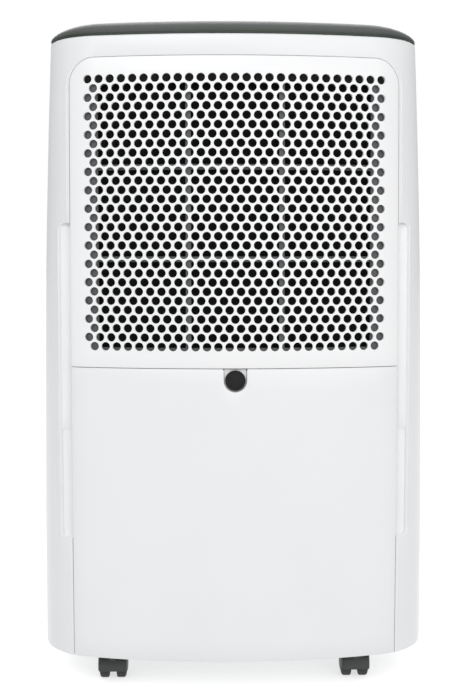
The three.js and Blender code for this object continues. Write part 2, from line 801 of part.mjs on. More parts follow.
const floatY = tankBack - float.fromRear;
const floatZ = tankTop + clearance - 7;

function tankFloat() {
  const blockY = floatY - float.arm;
  const blockZ = floatZ - float.drop;
  const body = block(
    float.x - float.width / 2, float.x + float.width / 2,
    blockY - float.depth / 2, blockY + float.depth / 2,
    blockZ - float.height / 2, blockZ + float.height / 2,
  );
  const half = float.width / 4;
  const arm = new THREE.Shape();
  arm.moveTo(floatY + 3, floatZ - 1);
  arm.lineTo(floatY + 3, floatZ + 3);
  arm.lineTo(floatY - 3, floatZ + 3);
  arm.lineTo(blockY - 2, blockZ + float.height / 2);
  arm.lineTo(blockY - 2, blockZ);
  arm.lineTo(blockY + 4, blockZ);
  arm.closePath();
  const pin = rod("x", float.pin, float.x - half - 3, float.x + half + 3, floatY, floatZ, 12);
  return join(body, prismX(arm, float.x - half, float.x + half), pin);
}

// ---------------------------------------------------------------- condensate

const nozzleFront = rearY + body.wall + plug.recess + plug.flange;
const dripFront = railY + nozzle.rail + 4;
const dripBack = scrollY - 3;
const dripBottom = faceTop + drip.above;

function dripTray() {
  const half = coilHalf + evaporator.tube + 3;
  const z1 = dripBottom + drip.height;
  const w = drip.wall;
  const sump = drip.sumpWidth / 2;
  const sumpBottom = dripBottom - drip.sumpDrop;
  const outside = block(-half, half, dripFront, dripBack, dripBottom, z1).add(
    block(-sump, sump, dripFront, dripFront + drip.sumpDepth, sumpBottom, z1),
  );
  const inside = block(
    w - half, half - w, dripFront + w, dripBack - w, dripBottom + w, z1 + 1,
  ).add(
    block(
      w - sump, sump - w, dripFront + w, dripFront + drip.sumpDepth - w, sumpBottom + w, z1 + 1,
    ),
  );
  const port = rod("y", nozzle.inner, dripFront - 1, dripFront + w + 1, 0, plugZ, 12);
  const fall = block(half - 46, half - 34, dripFront + 12, dripFront + 24, 0, dripBottom + w + 1);
  return cut(outside, inside, port, fall);
}

function drainNozzle() {
  const y0 = nozzleFront + clearance;
  const y1 = dripFront - clearance;
  const collar = rod("y", nozzle.outer + 3, railY + nozzle.rail + clearance, y1, 0, plugZ);
  const spout = rod("y", nozzle.outer, y0, y1, 0, plugZ);
  return cut(join(spout, collar), rod("y", nozzle.inner, y0 - 1, y1 + 1, 0, plugZ, 12));
}

function drainPlug() {
  const y0 = nozzleFront - plug.flange;
  const flange = rod("y", plug.radius, y0, nozzleFront, 0, plugZ, 24);
  const shank = rod(
    "y", nozzle.inner - clearance, nozzleFront - 1, nozzleFront + plug.shank, 0, plugZ, 12,
  );
  return flange.add(shank);
}

// ---------------------------------------------------------------- cooling circuit

// A finned block with its end plates and the return bends that stand out of them.
function finnedCoil(y0, thickness, tubeSize) {
  const y1 = y0 + thickness;
  const fins = block(-coilHalf, coilHalf, y0, y1, coilBottom + 2, coilTop - 2);
  const plates = [-1, 1].map((side) => {
    const edges = [side * (coilHalf - 0.5), side * (coilHalf + coil.plate)].sort((a, b) => a - b);
    return block(...edges, y0 - 1, y1 + 1, coilBottom, coilTop);
  });
  const middle = (y0 + y1) / 2;
  const bends = [];
  const count = Math.floor((coilTop - coilBottom - 20) / coil.bendPitch);
  for (const side of [-1, 1]) {
    for (let i = 0; i < count; i += 1) {
      const z = coilBottom + 24 + i * coil.bendPitch + (side > 0 ? 6 : 0);
      const outer = coil.bendRadius;
      const bend = new THREE.Shape();
      bend.absarc(0, 0, outer, -Math.PI / 2, Math.PI / 2);
      bend.absarc(0, 0, outer - tubeSize, Math.PI / 2, -Math.PI / 2, true);
      const ring = prismY(bend, -tubeSize / 2, tubeSize / 2, 2);
      const start = coilHalf + coil.plate - 0.5;
      const turn = side > 0 ? ring : ring.mirror([1, 0, 0]);
      bends.push(turn.translate([side * start, middle, z]));
    }
  }
  return join(fins, ...plates, ...bends);
}

const compressorBottom = floorTop + clearance + mount.height + clearance;
const compressorTop = compressorBottom + compressor.foot + compressor.height;

function mountPlaces() {
  return [0, 1, 2].map((i) => {
    const angle = Math.PI / 2 + (2 * Math.PI * i) / 3;
    return {
      x: compressor.x + mount.circle * Math.cos(angle),
      y: compressorY + mount.circle * Math.sin(angle),
    };
  });
}

function compressorShell() {
  const { radius, height, foot, dome } = compressor;
  const can = turned([
    [0, foot - 1],
    [radius - 6, foot - 1],
    [radius, foot + 8],
    [radius, foot + height - dome],
    [radius - 5, foot + height - dome / 2],
    [radius - 18, foot + height - dome / 5],
    [0, foot + height],
  ], 20).translate([compressor.x, compressorY, compressorBottom]);
  const pads = mountPlaces().map(({ x, y }) =>
    rod("z", mount.radius + 1, compressorBottom, compressorBottom + foot, x, y, 12),
  );
  const plate = rod(
    "z", radius + 2, compressorBottom, compressorBottom + foot, compressor.x, compressorY, 20,
  );
  return join(can, plate, ...pads);
}

function compressorMount() {
  const { radius, height } = mount;
  return turned([
    [0, 0],
    [radius, 0],
    [radius, height * 0.35],
    [radius - 2.5, height * 0.5],
    [radius, height * 0.65],
    [radius, height],
    [0, height],
  ], 12);
}

const pipeRise = (deckTop - deck.thickness - compressorTop) / 2; // above the compressor
const accumulatorX = compressor.x - compressor.radius - accumulator.gap - accumulator.radius;

function accumulatorCan() {
  const { radius, height } = accumulator;
  return turned([
    [0, 0],
    [radius - 8, 2],
    [radius, 10],
    [radius, height - 10],
    [radius - 8, height - 2],
    [0, height],
  ], 14);
}

const plateX = coilHalf + coil.plate;
const pipeEnd = 3.5; // how far short of the coil's plate a slanting pipe end stops
const pipeX = plateX + coil.bendRadius + pipe.suction + 1;

function suctionPipe() {
  const start = [accumulatorX, compressorY, compressorBottom + accumulator.lift + accumulator.height + 1];
  return tube([
    start,
    [start[0], start[1], start[2] + pipeRise / 2],
    [start[0] - 30, start[1] - 4, start[2] + pipeRise],
    [-pipeX + 6, start[1] - 20, fanZ - scroll.large - 20],
    [-pipeX + 1, scrollY + 10, fanZ - scroll.large + 14],
    [-pipeX, evaporatorY + evaporator.thickness / 2 + 10, coilBottom + 26],
    [-pipeX, evaporatorY + evaporator.thickness / 2, coilBottom + 40],
    [-plateX - pipeEnd, evaporatorY + evaporator.thickness / 2, coilBottom + 46],
  ], pipe.suction);
}

function dischargePipe() {
  return tube([
    [compressor.x + 20, compressorY + 12, compressorTop - 2],
    [compressor.x + 20, compressorY + 12, compressorTop + 0.6 * pipeRise],
    [compressor.x + 60, compressorY + 6, compressorTop + 1.1 * pipeRise],
    [pipeX - 2, compressorY - 20, fanZ - scroll.large + 6],
    [pipeX, condenserY + 30, fanZ],
    [pipeX, condenserY + condenser.thickness / 2 + 4, coilTop - 30],
    [pipeX, condenserY + condenser.thickness / 2, coilTop - 18],
    [plateX + pipeEnd, condenserY + condenser.thickness / 2, coilTop - 12],
  ], pipe.discharge);
}

const drierZ = coilTop - 78;

function filterDrier() {
  const { radius, length } = drier;
  return turned([
    [0, 0],
    [3, 0],
    [radius, 9],
    [radius, length - 9],
    [3, length],
    [0, length],
  ], 12).translate([-pipeX - 1, condenserY + condenser.thickness + 8, drierZ - length]);
}

function capillaryTube() {
  const y = condenserY + condenser.thickness + 8;
  const x = -pipeX - 1;
  return tube([
    [x, y, drierZ + clearance],
    [x, y, drierZ + 20],
    [x, y - 14, drierZ + 36],
    [x + 2, condenserY, drierZ + 40],
    [x + 3, evaporatorY + evaporator.thickness / 2 + 4, drierZ + 30],
    [x + 3, evaporatorY + evaporator.thickness / 2, drierZ + 14],
  ], pipe.capillary, 16);
}

// ---------------------------------------------------------------- fan

// The scroll's outline about the fan's axis, from its tongue round to the throat and its flare.
function scrollShape(inset, rise) {
  const shape = new THREE.Shape();
  const throat = lidTop - outlet.collarDepth - clearance - fanZ + rise;
  const turns = 18;
  for (let i = 0; i <= turns; i += 1) {
    const share = i / turns;
    const angle = Math.PI / 2 + 1.5 * Math.PI * share;
    const radius = scroll.small + (scroll.large - scroll.small) * share - inset;
    const place = [radius * Math.cos(angle), radius * Math.sin(angle)];
    if (i) shape.lineTo(...place);
    else shape.moveTo(...place);
  }
  shape.lineTo(scroll.large - inset, throat);
  shape.lineTo(inset - scroll.large, throat);
  shape.lineTo(inset - scroll.large, throat - rise - scroll.flare + inset);
  shape.closePath();
  return shape;
}

function fanScroll() {
  const y1 = scrollY + scroll.depth;
  const w = scroll.wall;
  const outside = prismY(scrollShape(0, 0), scrollY, y1);
  const inside = prismY(scrollShape(w, 1), scrollY + w, y1 - w);
  const mouth = rod("y", scroll.inlet, scrollY - 1, scrollY + w + 1, 0, 0, 24);
  const bearing = rod("y", motor.shaft + 1.5, y1 - w - 1, y1 + 1, 0, 0, 12);
  return cut(outside, inside, mouth, bearing);
}

function fanWheel() {
  const { radius, width, blades, blade, hub, plate, ring } = fan;
  const y1 = width / 2;
  const disc = rod("y", radius, y1 - plate, y1, 0, 0, 28);
  const boss = rod("y", hub, y1 - 24, y1 - 1, 0, 0, 12);
  const rim = rod("y", radius, -y1, ring - y1, 0, 0, 28).subtract(
    rod("y", radius - ring, -y1 - 1, ring - y1 + 1, 0, 0, 28),
  );
  const vanes = [];
  for (let i = 0; i < blades; i += 1) {
    const vane = new THREE.BoxGeometry(blade, width - 1, 1.6);
    vane.rotateY(-0.5).translate(radius - blade / 2 - 1, 0, 0);
    vanes.push(solidOf(vane.rotateY((2 * Math.PI * i) / blades)));
  }
  const bore = rod("y", motor.shaft + running, -width, width, 0, 0, 12);
  return join(disc, boss, rim, ...vanes).subtract(bore);
}

function fanMotor() {
  const y0 = scrollY + scroll.depth + clearance;
  const can = rod("y", motor.radius, y0 + motor.flange, y0 + motor.length, 0, 0, 20);
  const flange = rod("y", motor.radius + 6, y0, y0 + motor.flange + 0.5, 0, 0, 20);
  const tip = scrollY + scroll.depth / 2 + fan.width / 2 - 22;
  return join(can, flange, rod("y", motor.shaft, tip, y0 + 1, 0, 0, 12));
}

// ---------------------------------------------------------------- frame inside and electrics

function partitionPlate() {
  const half = openingHalf - clearance;
  const z1 = deckTop - deck.thickness - clearance;
  return block(-half, half, partitionY, partitionY + 1.5, floorTop + clearance, z1);
}

function fanDeck() {
  const form = bodyForm(insideWall, 0.5);
  return form.intersect(
    block(
      deck.side - pipeX, pipeX - deck.side, scrollY, scrollY + deck.depth,
      deckTop - deck.thickness, deckTop,
    ),
  );
}

const boxX = -box.fromCentre;
const boxY = scrollY + scroll.depth + 4;
const boxZ = fanZ - scroll.large + box.lift;

function electronicsBox() {
  const w = box.wall;
  const outside = block(boxX - box.width, boxX, boxY, boxY + box.depth, boxZ, boxZ + box.height);
  const inside = block(
    boxX - box.width + w, boxX - w, boxY + w, boxY + box.depth - w,
    boxZ + w, boxZ + box.height + 1,
  );
  return outside.subtract(inside);
}

function powerBoard() {
  const y = boxY + box.wall + 3;
  return block(
    boxX - box.width + 5, boxX - 30, y, y + board.thickness, boxZ + 5, boxZ + box.height - 8,
  );
}

function runCapacitor() {
  const x = boxX - box.wall - capacitor.radius - 4;
  const z0 = boxZ + box.wall + clearance;
  return rod("z", capacitor.radius, z0, z0 + capacitor.height, x, boxY + box.depth / 2, 14);
}

function controlBoard() {
  const half = controls.width / 2 - 8;
  const z1 = lidTop - button.height - button.travel - 1;
  return block(
    -half, half, controlRear + board.edge, controlFront - 2 * board.edge, z1 - board.thickness, z1,
  );
}

function humiditySensor() {
  const x = coilHalf - 24;
  const z0 = coilTop + clearance;
  return block(x, x + 12, evaporatorY, evaporatorY + 9, z0, z0 + 14);
}

function tankSwitch() {
  const y1 = partitionY - clearance;
  return block(float.x - 10, float.x + 10, y1 - 11, y1, tankLidTop + 14, tankLidTop + 26);
}

function powerInlet() {
  const [narrow] = narrowing(body.bottom + inlet.z);
  const x1 = halfWidth * narrow - 0.4;
  const y = body.shellSplit + inlet.y;
  const z = body.bottom + inlet.z;
  const gland = rod("x", inlet.radius, x1 - inlet.length, x1, y, z);
  const collar = rod(
    "x", inlet.radius + 4, x1 - inlet.length, x1 - body.wall - 1, y, z,
  );
  return cut(join(gland, collar), rod("x", 4, x1 - inlet.length - 1, x1 + 1, y, z, 12));
}

// ---------------------------------------------------------------- castors

function castorPlaces() {
  const x = halfWidth - castor.fromSide;
  const y = halfDepth - castor.fromFace;
  return [
    { name: "rear_left", x: -x, y: -y },
    { name: "rear_right", x, y: -y },
    { name: "front_left", x: -x, y },
    { name: "front_right", x, y },
  ];
}

// The hood, its web, the axle spigots and the stem, about the stem's axis on the floor.
function castorHood() {
  const inner = wheel.radius + castor.hoodGap;
  const outer = inner + castor.hoodWall;
  const from = Math.PI * 0.2;
  const to = Math.PI * 1.03;
  const arc = new THREE.Shape();
  arc.absarc(castor.trail, axleZ, outer, from, to);
  arc.absarc(castor.trail, axleZ, inner, to, from, true);
  const half = castor.webWidth / 2 + clearance + wheel.width + 0.3;
  const hood = prismX(arc, -half, half);
  const bossTop = body.bottom - 0.5;
  const boss = rod("z", castor.bossRadius, axleZ, bossTop, 0, 0, 12);
  const room = rod("x", inner, -half - 1, half + 1, castor.trail, axleZ, 14);
  const web = rod(
    "x", wheel.radius - 2, -castor.webWidth / 2, castor.webWidth / 2, castor.trail, axleZ, 10,
  );
  const neck = block(
    -castor.webWidth / 2, castor.webWidth / 2, -castor.bossRadius + 1, castor.trail,
    axleZ, bossTop - 3,
  );
  const axle = rod(
    "x", wheel.bore - running, 0.5 - half, half - 0.5, castor.trail, axleZ, 8,
  );
  const stem = rod(
    "z", castor.stemRadius, bossTop - 1, body.bottom + castor.stemLength, 0, 0, 10,
  );
  return join(boss.subtract(room), hood, web, neck, axle, stem);
}

// A wheel about its own centre, with its axis along X and a flat of its rim at the bottom.
function castorWheel(side) {
  const half = wheel.width / 2;
  const profile = [
    [wheel.bore, -half],
    [wheel.radius, -half],
    [wheel.radius, half - 1.5],
    [wheel.radius - 1.5, half],
    [wheel.bore, half],
    [wheel.bore, -half],
  ];
  const ring = turned(profile, wheel.sides).rotate([0, 0, 180 / wheel.sides]);
  return ring.rotate([0, side * 90, 0]);
}

// ---------------------------------------------------------------- assembly

const dehumidifier = new THREE.Group();

function add(name, solid, material, place = [0, 0, 0], parent = dehumidifier) {
  const mesh = meshOf(name, solid, paint(material));
  mesh.position.set(...place);
  parent.add(mesh);
}

add("front_shell", frontShell(), "whiteShell");
add("rear_shell", rearShell(), "whiteShell");
add("base_tray", baseTray(), "greyPlastic");
add("top_cover", topCover(), "darkLid");
add("control_panel", controlPanel(), "blackGloss");
add("display_window", displayWindow(), "blackGloss");
add("outlet_grille", outletGrille(), "darkLid");
add("outlet_louvre", outletLouvre(), "darkLid");
add("carry_handle", carryHandle(), "darkLid");
buttonNames.forEach((name, i) => {
  add(`${name}_button`, buttonCap(), "greyPlastic", [buttonX(i), buttonY, lidTop]);
});

add("rear_grille", rearGrille(), "whiteGrille");
add("filter_frame", filterFrame(), "filterGrey");
add("filter_mesh", filterMesh(), "filterNet");

add("tank_front", tankFront(), "whiteShell");
add("water_tank", waterTank(), "clearTank");
add("tank_lid", tankLid(), "greyPlastic");
add("tank_handle", tankHandleBail(), "greyPlastic");
add("tank_float", tankFloat(), "whiteShell");
add("tank_switch", tankSwitch(), "blackGloss");

add("drip_tray", dripTray(), "greyPlastic");
add("drain_nozzle", drainNozzle(), "greyPlastic");
add("drain_plug", drainPlug(), "rubber");

add("evaporator_coil", finnedCoil(evaporatorY, evaporator.thickness, evaporator.tube), "fins");
add("condenser_coil", finnedCoil(condenserY, condenser.thickness, condenser.tube), "fins");
add("compressor_shell", compressorShell(), "blackPaint");
const mountNames = ["front", "left", "right"];
mountPlaces().forEach(({ x, y }, i) => {
  const place = [x, y, floorTop + clearance];
  add(`compressor_mount_${mountNames[i]}`, compressorMount(), "rubber", place);
});
add("accumulator", accumulatorCan(), "blackPaint", [
  accumulatorX,
  compressorY,
  compressorBottom + accumulator.lift,
]);
add("suction_pipe", suctionPipe(), "copper");
add("discharge_pipe", dischargePipe(), "copper");
add("filter_drier", filterDrier(), "copper");
add("capillary_tube", capillaryTube(), "copper");

const fanAxis = new THREE.Group();
fanAxis.position.set(0, 0, fanZ);
dehumidifier.add(fanAxis);
add("fan_scroll", fanScroll(), "greyPlastic", [0, 0, 0], fanAxis);
add("fan_motor", fanMotor(), "galvanised", [0, 0, 0], fanAxis);
add("fan_wheel", fanWheel(), "greyPlastic", [0, scrollY + scroll.depth / 2, 0], fanAxis);
add("fan_deck", fanDeck(), "galvanised");
add("partition_plate", partitionPlate(), "galvanised");

add("electronics_box", electronicsBox(), "greyPlastic");
add("power_board", powerBoard(), "boardGreen");
add("run_capacitor", runCapacitor(), "galvanised");
add("control_board", controlBoard(), "boardGreen");
add("humidity_sensor", humiditySensor(), "blackGloss");
add("power_inlet", powerInlet(), "rubber");

for (const { name, x, y } of castorPlaces()) {
  const corner = new THREE.Group();
  corner.position.set(x, y, 0);
  dehumidifier.add(corner);
  add(`castor_hood_${name}`, castorHood(), "castorGrey", [0, 0, 0], corner);
  const offset = castor.webWidth / 2 + clearance + wheel.width / 2;
  for (const [label, side] of [["a", -1], ["b", 1]]) {
    const place = [side * offset, castor.trail, axleZ];
    add(`castor_wheel_${name}_${label}`, castorWheel(side), "tyreGrey", place, corner);
  }
}

export default dehumidifier;
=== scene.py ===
"""Looks of a free-standing dehumidifier on castors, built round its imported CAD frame.

Shapes are drawn in millimetres and turned to metres when a piece is finished.
"""

import math

import bmesh
import bpy
from mathutils import Matrix, Vector


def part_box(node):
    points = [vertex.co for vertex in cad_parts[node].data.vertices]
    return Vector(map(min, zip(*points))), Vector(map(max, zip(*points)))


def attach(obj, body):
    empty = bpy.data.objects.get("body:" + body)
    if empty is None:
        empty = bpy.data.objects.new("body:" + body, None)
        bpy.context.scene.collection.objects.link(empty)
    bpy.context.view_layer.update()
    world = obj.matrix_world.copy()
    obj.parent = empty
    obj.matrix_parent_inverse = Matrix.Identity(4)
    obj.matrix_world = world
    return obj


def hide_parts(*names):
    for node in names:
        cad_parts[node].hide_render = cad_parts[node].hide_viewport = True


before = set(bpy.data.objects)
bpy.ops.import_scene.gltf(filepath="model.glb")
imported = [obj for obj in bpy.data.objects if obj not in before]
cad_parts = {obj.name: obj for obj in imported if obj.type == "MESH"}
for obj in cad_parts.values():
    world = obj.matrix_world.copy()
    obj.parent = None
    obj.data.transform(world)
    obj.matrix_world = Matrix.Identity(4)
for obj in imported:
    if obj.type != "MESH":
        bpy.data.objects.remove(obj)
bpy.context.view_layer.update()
MM = 0.001

# ---------------------------------------------------------------- sizes of the casing

WIDTH, DEPTH, BOTTOM, HEIGHT = 304.5, 220.0, 30.0, 474.0
TOP = BOTTOM + HEIGHT
WALL = 2.8
FACE_RADIUS, CORNER_RADIUS = 474.7, 51.6
SIDE_TAPER, FACE_TAPER, TAPER_POWER = 0.061, 0.129, 2.12
CORNER_X = WIDTH / 2 - CORNER_RADIUS
CORNER_Y = (
    DEPTH / 2 - FACE_RADIUS + math.sqrt((FACE_RADIUS - CORNER_RADIUS) ** 2 - CORNER_X**2)
)
FACE_CENTRE = FACE_RADIUS - DEPTH / 2
FACE_TURN = math.asin(CORNER_X / (FACE_RADIUS - CORNER_RADIUS))
FACE_RUN = FACE_RADIUS * FACE_TURN
CORNER_RUN = CORNER_RADIUS * (math.pi / 2 - FACE_TURN)
SIDE_RUN = 2 * CORNER_Y
HALF_RUN = FACE_RUN + CORNER_RUN + SIDE_RUN / 2

OPENING_HALF, OPENING_TOP, OPENING_ROUND = 125.25, 487.9, 20.0
SPLIT = 12.0  # where the front half of the casing meets the rear half
FLAT_END = 140.0  # a sheet's x is a true x up to here, and runs round the corner beyond it
SHEET_END = 234.0
CORNER_START, CORNER_STEP = 94.5, 4.6  # where the cuts come closer, and how far apart they are
SEAM = 0.35
FACE_SEAM = 0.5  # between the intake panel and the tank's front
LIP = 2.2  # radius of the casing's top edge
RIM_HEIGHT = 1.5  # of the ring, dark with painted shade, between the casing and the lid
PANEL_HALF = OPENING_HALF - SEAM
FACE_TOP = 255.1
GRILLE_LOW, GRILLE_TOP = FACE_TOP + FACE_SEAM, OPENING_TOP - SEAM
FACE_WALL, FACE_RETURN = 2.6, 7.0
PANEL_WALL, PANEL_RETURN = 1.8, 8.0
EDGE_ROUND = 0.5
GROOVE_WIDTH, GROOVE_LOW, GROOVE_HIGH, GROOVE_DEPTH = 7.6, 122.6, 364.6, 6.8
GROOVE_ROUND = 4.0
GROOVE_RISE = 0.9  # share of its depth that the groove loses across its width
GROOVE_STEP, GROOVE_EASE = 207.0, 0.17  # below this height it loses that much less
JAMB_DEPTH = 38.0
LID_TOP, CROWN, CROWN_POWER = 517.0, 29.0, 1.55
NEAR = 0.01  # two lengths this close count as the same


def narrowing(z):
    """How much of its full width and depth the casing keeps at a height."""
    share = min(max((z - BOTTOM) / HEIGHT, 0.0), 1.0) ** TAPER_POWER
    return 1 - SIDE_TAPER * share, 1 - FACE_TAPER * share


def plan_point(run, inset=0.0):
    """A point of the plan, so far round from the middle of the rear, moved in by an inset."""
    side = -1 if run < 0 else 1
    left = abs(run)
    front = left > HALF_RUN
    if front:
        left = 2 * HALF_RUN - left
    if left <= FACE_RUN:
        turn = left / FACE_RADIUS
        x = (FACE_RADIUS - inset) * math.sin(turn)
        y = FACE_CENTRE - (FACE_RADIUS - inset) * math.cos(turn)
    elif left <= FACE_RUN + CORNER_RUN:
        turn = FACE_TURN + (left - FACE_RUN) / CORNER_RADIUS
        x = CORNER_X + (CORNER_RADIUS - inset) * math.sin(turn)
        y = -CORNER_Y - (CORNER_RADIUS - inset) * math.cos(turn)
    else:
        x = WIDTH / 2 - inset
        y = left - FACE_RUN - CORNER_RUN - CORNER_Y
    return side * x, -y if front else y


def run_at_x(x):
    """How far round the rear outline a distance from the centre line is."""
    if abs(x) <= FACE_RADIUS * math.sin(FACE_TURN):
        return FACE_RADIUS * math.asin(x / FACE_RADIUS)
    turn = math.asin(min((abs(x) - CORNER_X) / CORNER_RADIUS, 1.0)) - FACE_TURN
    return math.copysign(FACE_RUN + CORNER_RADIUS * turn, x)


def on_casing(run, z, inset=0.0):
    """A point of the casing's outside, so far round at a height."""
    x, y = plan_point(run, inset)
    keep_x, keep_y = narrowing(z)
    return Vector((x * keep_x, y * keep_y, z))


def lip(z):
    """How far in the casing's rounded top edge has come at a height."""
    rise = max((z - TOP) / LIP + 1, 0.0)
    return LIP * (1 - math.sqrt(max(1 - rise**2, 0.0)))


def on_rear(flat):
    """A flat panel's point (x, depth, z), laid on the rear and moved straight in by its depth."""
    keep_x, keep_y = narrowing(flat.z)
    x, y = plan_point(run_at_x(flat.x / keep_x), lip(flat.z))
    return Vector((x * keep_x, y * keep_y + flat.y, flat.z))


def split_run(z):
    """How far round the outline the two halves of the casing meet."""
    return FACE_RUN + CORNER_RUN + CORNER_Y + SPLIT / narrowing(z)[1]


def round_rear(flat):
    """The same for the rear shell, whose sheet runs round the corner to where the halves meet."""
    if abs(flat.x) <= FLAT_END:
        return on_rear(flat)
    start = run_at_x(FLAT_END / narrowing(flat.z)[0])
    share = (abs(flat.x) - FLAT_END) / (SHEET_END - FLAT_END)
    run = start + share * (split_run(flat.z) - SEAM / 2 - start)
    return on_casing(math.copysign(run, flat.x), flat.z, lip(flat.z))


def round_front(flat):
    """The front shell's sheet: x runs from -1 to 1 between the places where the halves meet."""
    start = split_run(flat.z) + SEAM / 2
    run = 2 * HALF_RUN - abs(flat.x) * (2 * HALF_RUN - start)
    return on_casing(math.copysign(run, flat.x), flat.z, lip(flat.z))


def slice_lip(bm):
    """Cuts a sheet into the bands that its rounded top edge needs."""
    for share in (1.0, 0.7, 0.45, 0.25, 0.1, 0.03):
        slice_at(bm, (0, 0, TOP - LIP * share), (0, 0, 1))


# ---------------------------------------------------------------- working the sheets


def oblong(bm, x0, x1, z0, z1, y=0.0, across=1, up=1):
    """An upright flat sheet that faces the rear."""
    made = bmesh.ops.create_grid(bm, x_segments=across, y_segments=up, size=0.5)
    corners = made["verts"]
    bmesh.ops.scale(bm, vec=(x1 - x0, z1 - z0, 1), verts=corners)
    bmesh.ops.rotate(bm, matrix=Matrix.Rotation(math.pi / 2, 3, "X"), verts=corners)
    bmesh.ops.translate(bm, vec=((x0 + x1) / 2, y, (z0 + z1) / 2), verts=corners)
    return corners


def everything(bm):
    return bm.verts[:] + bm.edges[:] + bm.faces[:]


def verts_of(geom):
    return [x for x in geom if isinstance(x, bmesh.types.BMVert)]


def slice_at(bm, point, normal, keep_below=False):
    bmesh.ops.bisect_plane(
        bm, geom=everything(bm), dist=1e-4, plane_co=point, plane_no=normal,
        clear_outer=keep_below,
    )


def slice_every(bm, axis, start, stop, step):
    normal = [0, 0, 0]
    normal[axis] = 1
    for i in range(1, round((stop - start) / step)):
        slice_at(bm, [n * (start + i * step) for n in normal], normal)


def round_corner(bm, x, z, radius, turn, cuts=10):
    """Rounds a corner of a flat sheet by planes that touch its arc. The arc's centre is (x, z)."""
    for i in range(cuts):
        angle = turn + math.pi / 2 * (i + 0.5) / cuts
        out = (math.cos(angle), 0, math.sin(angle))
        slice_at(bm, (x + out[0] * radius, 0, z + out[2] * radius), out, keep_below=True)


def edges_where(bm, test):
    return [e for e in bm.edges if all(test(v.co) for v in e.verts)]


def push(bm, edges, step):
    """Pulls edges out into a wall."""
    made = bmesh.ops.extrude_edge_only(bm, edges=edges)["geom"]
    bmesh.ops.translate(bm, vec=step, verts=verts_of(made))
    return [e for e in made if isinstance(e, bmesh.types.BMEdge)]


def soften(bm, edges, radius, segments=3):
    bmesh.ops.bevel(
        bm, geom=edges, offset=radius, offset_type="OFFSET", affect="EDGES", segments=segments,
        profile=0.5, clamp_overlap=True, material=-1,
    )


def round_points(bm, verts, radius, segments):
    """Rounds corners of a flat sheet."""
    bmesh.ops.bevel(
        bm, geom=verts, offset=radius, offset_type="OFFSET", affect="VERTICES",
        segments=segments, profile=0.5, material=-1,
    )


def soften_front(bm, angle=0.6, height=None):
    """Softens the folds that lie in a panel's own face, or in a flat at a height."""
    def flat(edge):
        if height is None:
            return all(v.co.y < NEAR for v in edge.verts)
        return all(abs(v.co.z - height) < NEAR for v in edge.verts)

    folds = [
        e for e in bm.edges if e.is_manifold and e.calc_face_angle(0) > angle and flat(e)
    ]
    soften(bm, folds, EDGE_ROUND, 2)


def soft_block(bm, x0, x1, y0, y1, z0, z1, radius=0.8, segments=2):
    made = bmesh.ops.create_cube(bm, size=1)["verts"]
    bmesh.ops.scale(bm, vec=(x1 - x0, y1 - y0, z1 - z0), verts=made)
    bmesh.ops.translate(bm, vec=((x0 + x1) / 2, (y0 + y1) / 2, (z0 + z1) / 2), verts=made)
    if radius:
        soften(bm, list({e for v in made for e in v.link_edges}), radius, segments)


AXES = {
    "x": Matrix.Rotation(math.pi / 2, 3, "Y"),
    "y": Matrix.Rotation(-math.pi / 2, 3, "X"),
    "z": Matrix.Identity(3),
}


def rod(radius, start, end):
    """The profile of a plain round rod."""
    return [(0, start), (radius, start), (radius, end), (0, end)]


def turned(bm, profile, place, axis="z", steps=32, sweep=2 * math.pi, start=0.0):
    """A profile of (radius, height) points turned about an axis through a place."""
    wire = [bm.verts.new((radius, 0, height)) for radius, height in profile]
    edges = [bm.edges.new(pair) for pair in zip(wire, wire[1:])]
    bmesh.ops.rotate(bm, matrix=Matrix.Rotation(start, 3, "Z"), verts=wire)
    full = abs(sweep - 2 * math.pi) < 1e-6
    before = set(bm.verts) - set(wire)
    bmesh.ops.spin(
        bm, geom=wire + edges, cent=(0, 0, 0), axis=(0, 0, 1), dvec=(0, 0, 0), angle=sweep,
        steps=steps, use_merge=full,
    )
    made = [v for v in bm.verts if v not in before]
    bmesh.ops.remove_doubles(bm, verts=made, dist=1e-3)
    made = [v for v in bm.verts if v not in before]
    bmesh.ops.rotate(bm, matrix=AXES[axis], verts=made)
    bmesh.ops.translate(bm, vec=place, verts=made)
    bmesh.ops.recalc_face_normals(bm, faces=list({f for v in made for f in v.link_faces}))
    return made


def pipe(bm, points, radius, sides=16, steps=8):
    """A round pipe along a smooth line through the points."""
    rings = []
    line = smooth_line(points, steps)
    side = None
    for i, here in enumerate(line):
        ahead = (line[min(i + 1, len(line) - 1)] - line[max(i - 1, 0)]).normalized()
        if side is None:
            side = ahead.orthogonal().normalized()
        side = (side - ahead * side.dot(ahead)).normalized()
        turn = Matrix((side, ahead.cross(side), ahead)).transposed().to_4x4()
        made = bmesh.ops.create_circle(
            bm, segments=sides, radius=radius, matrix=Matrix.Translation(here) @ turn,
            cap_ends=i in (0, len(line) - 1),
        )["verts"]
        ring = {e for v in made for e in v.link_edges if set(e.verts) <= set(made)}
        rings.append(list(ring))
    for low, high in zip(rings, rings[1:]):
        bmesh.ops.bridge_loops(bm, edges=low + high)
    bmesh.ops.recalc_face_normals(bm, faces=bm.faces[:])


def smooth_line(points, steps):
    """Points along a Catmull-Rom line."""
    places = [Vector(p) for p in points]
    places = [2 * places[0] - places[1], *places, 2 * places[-1] - places[-2]]
    line = []
    for a, b, c, d in zip(places, places[1:], places[2:], places[3:]):
        for i in range(steps):
            t = i / steps
            line.append(
                0.5 * (2 * b + (c - a) * t + (2 * a - 5 * b + 4 * c - d) * t**2
                       + (3 * b - a - 3 * c + d) * t**3)
            )
    return [*line, places[-2]]


def lay(bm, place):
    """Moves every vertex of a flat sheet to its place on the casing."""
    for v in bm.verts:
        v.co = place(v.co)


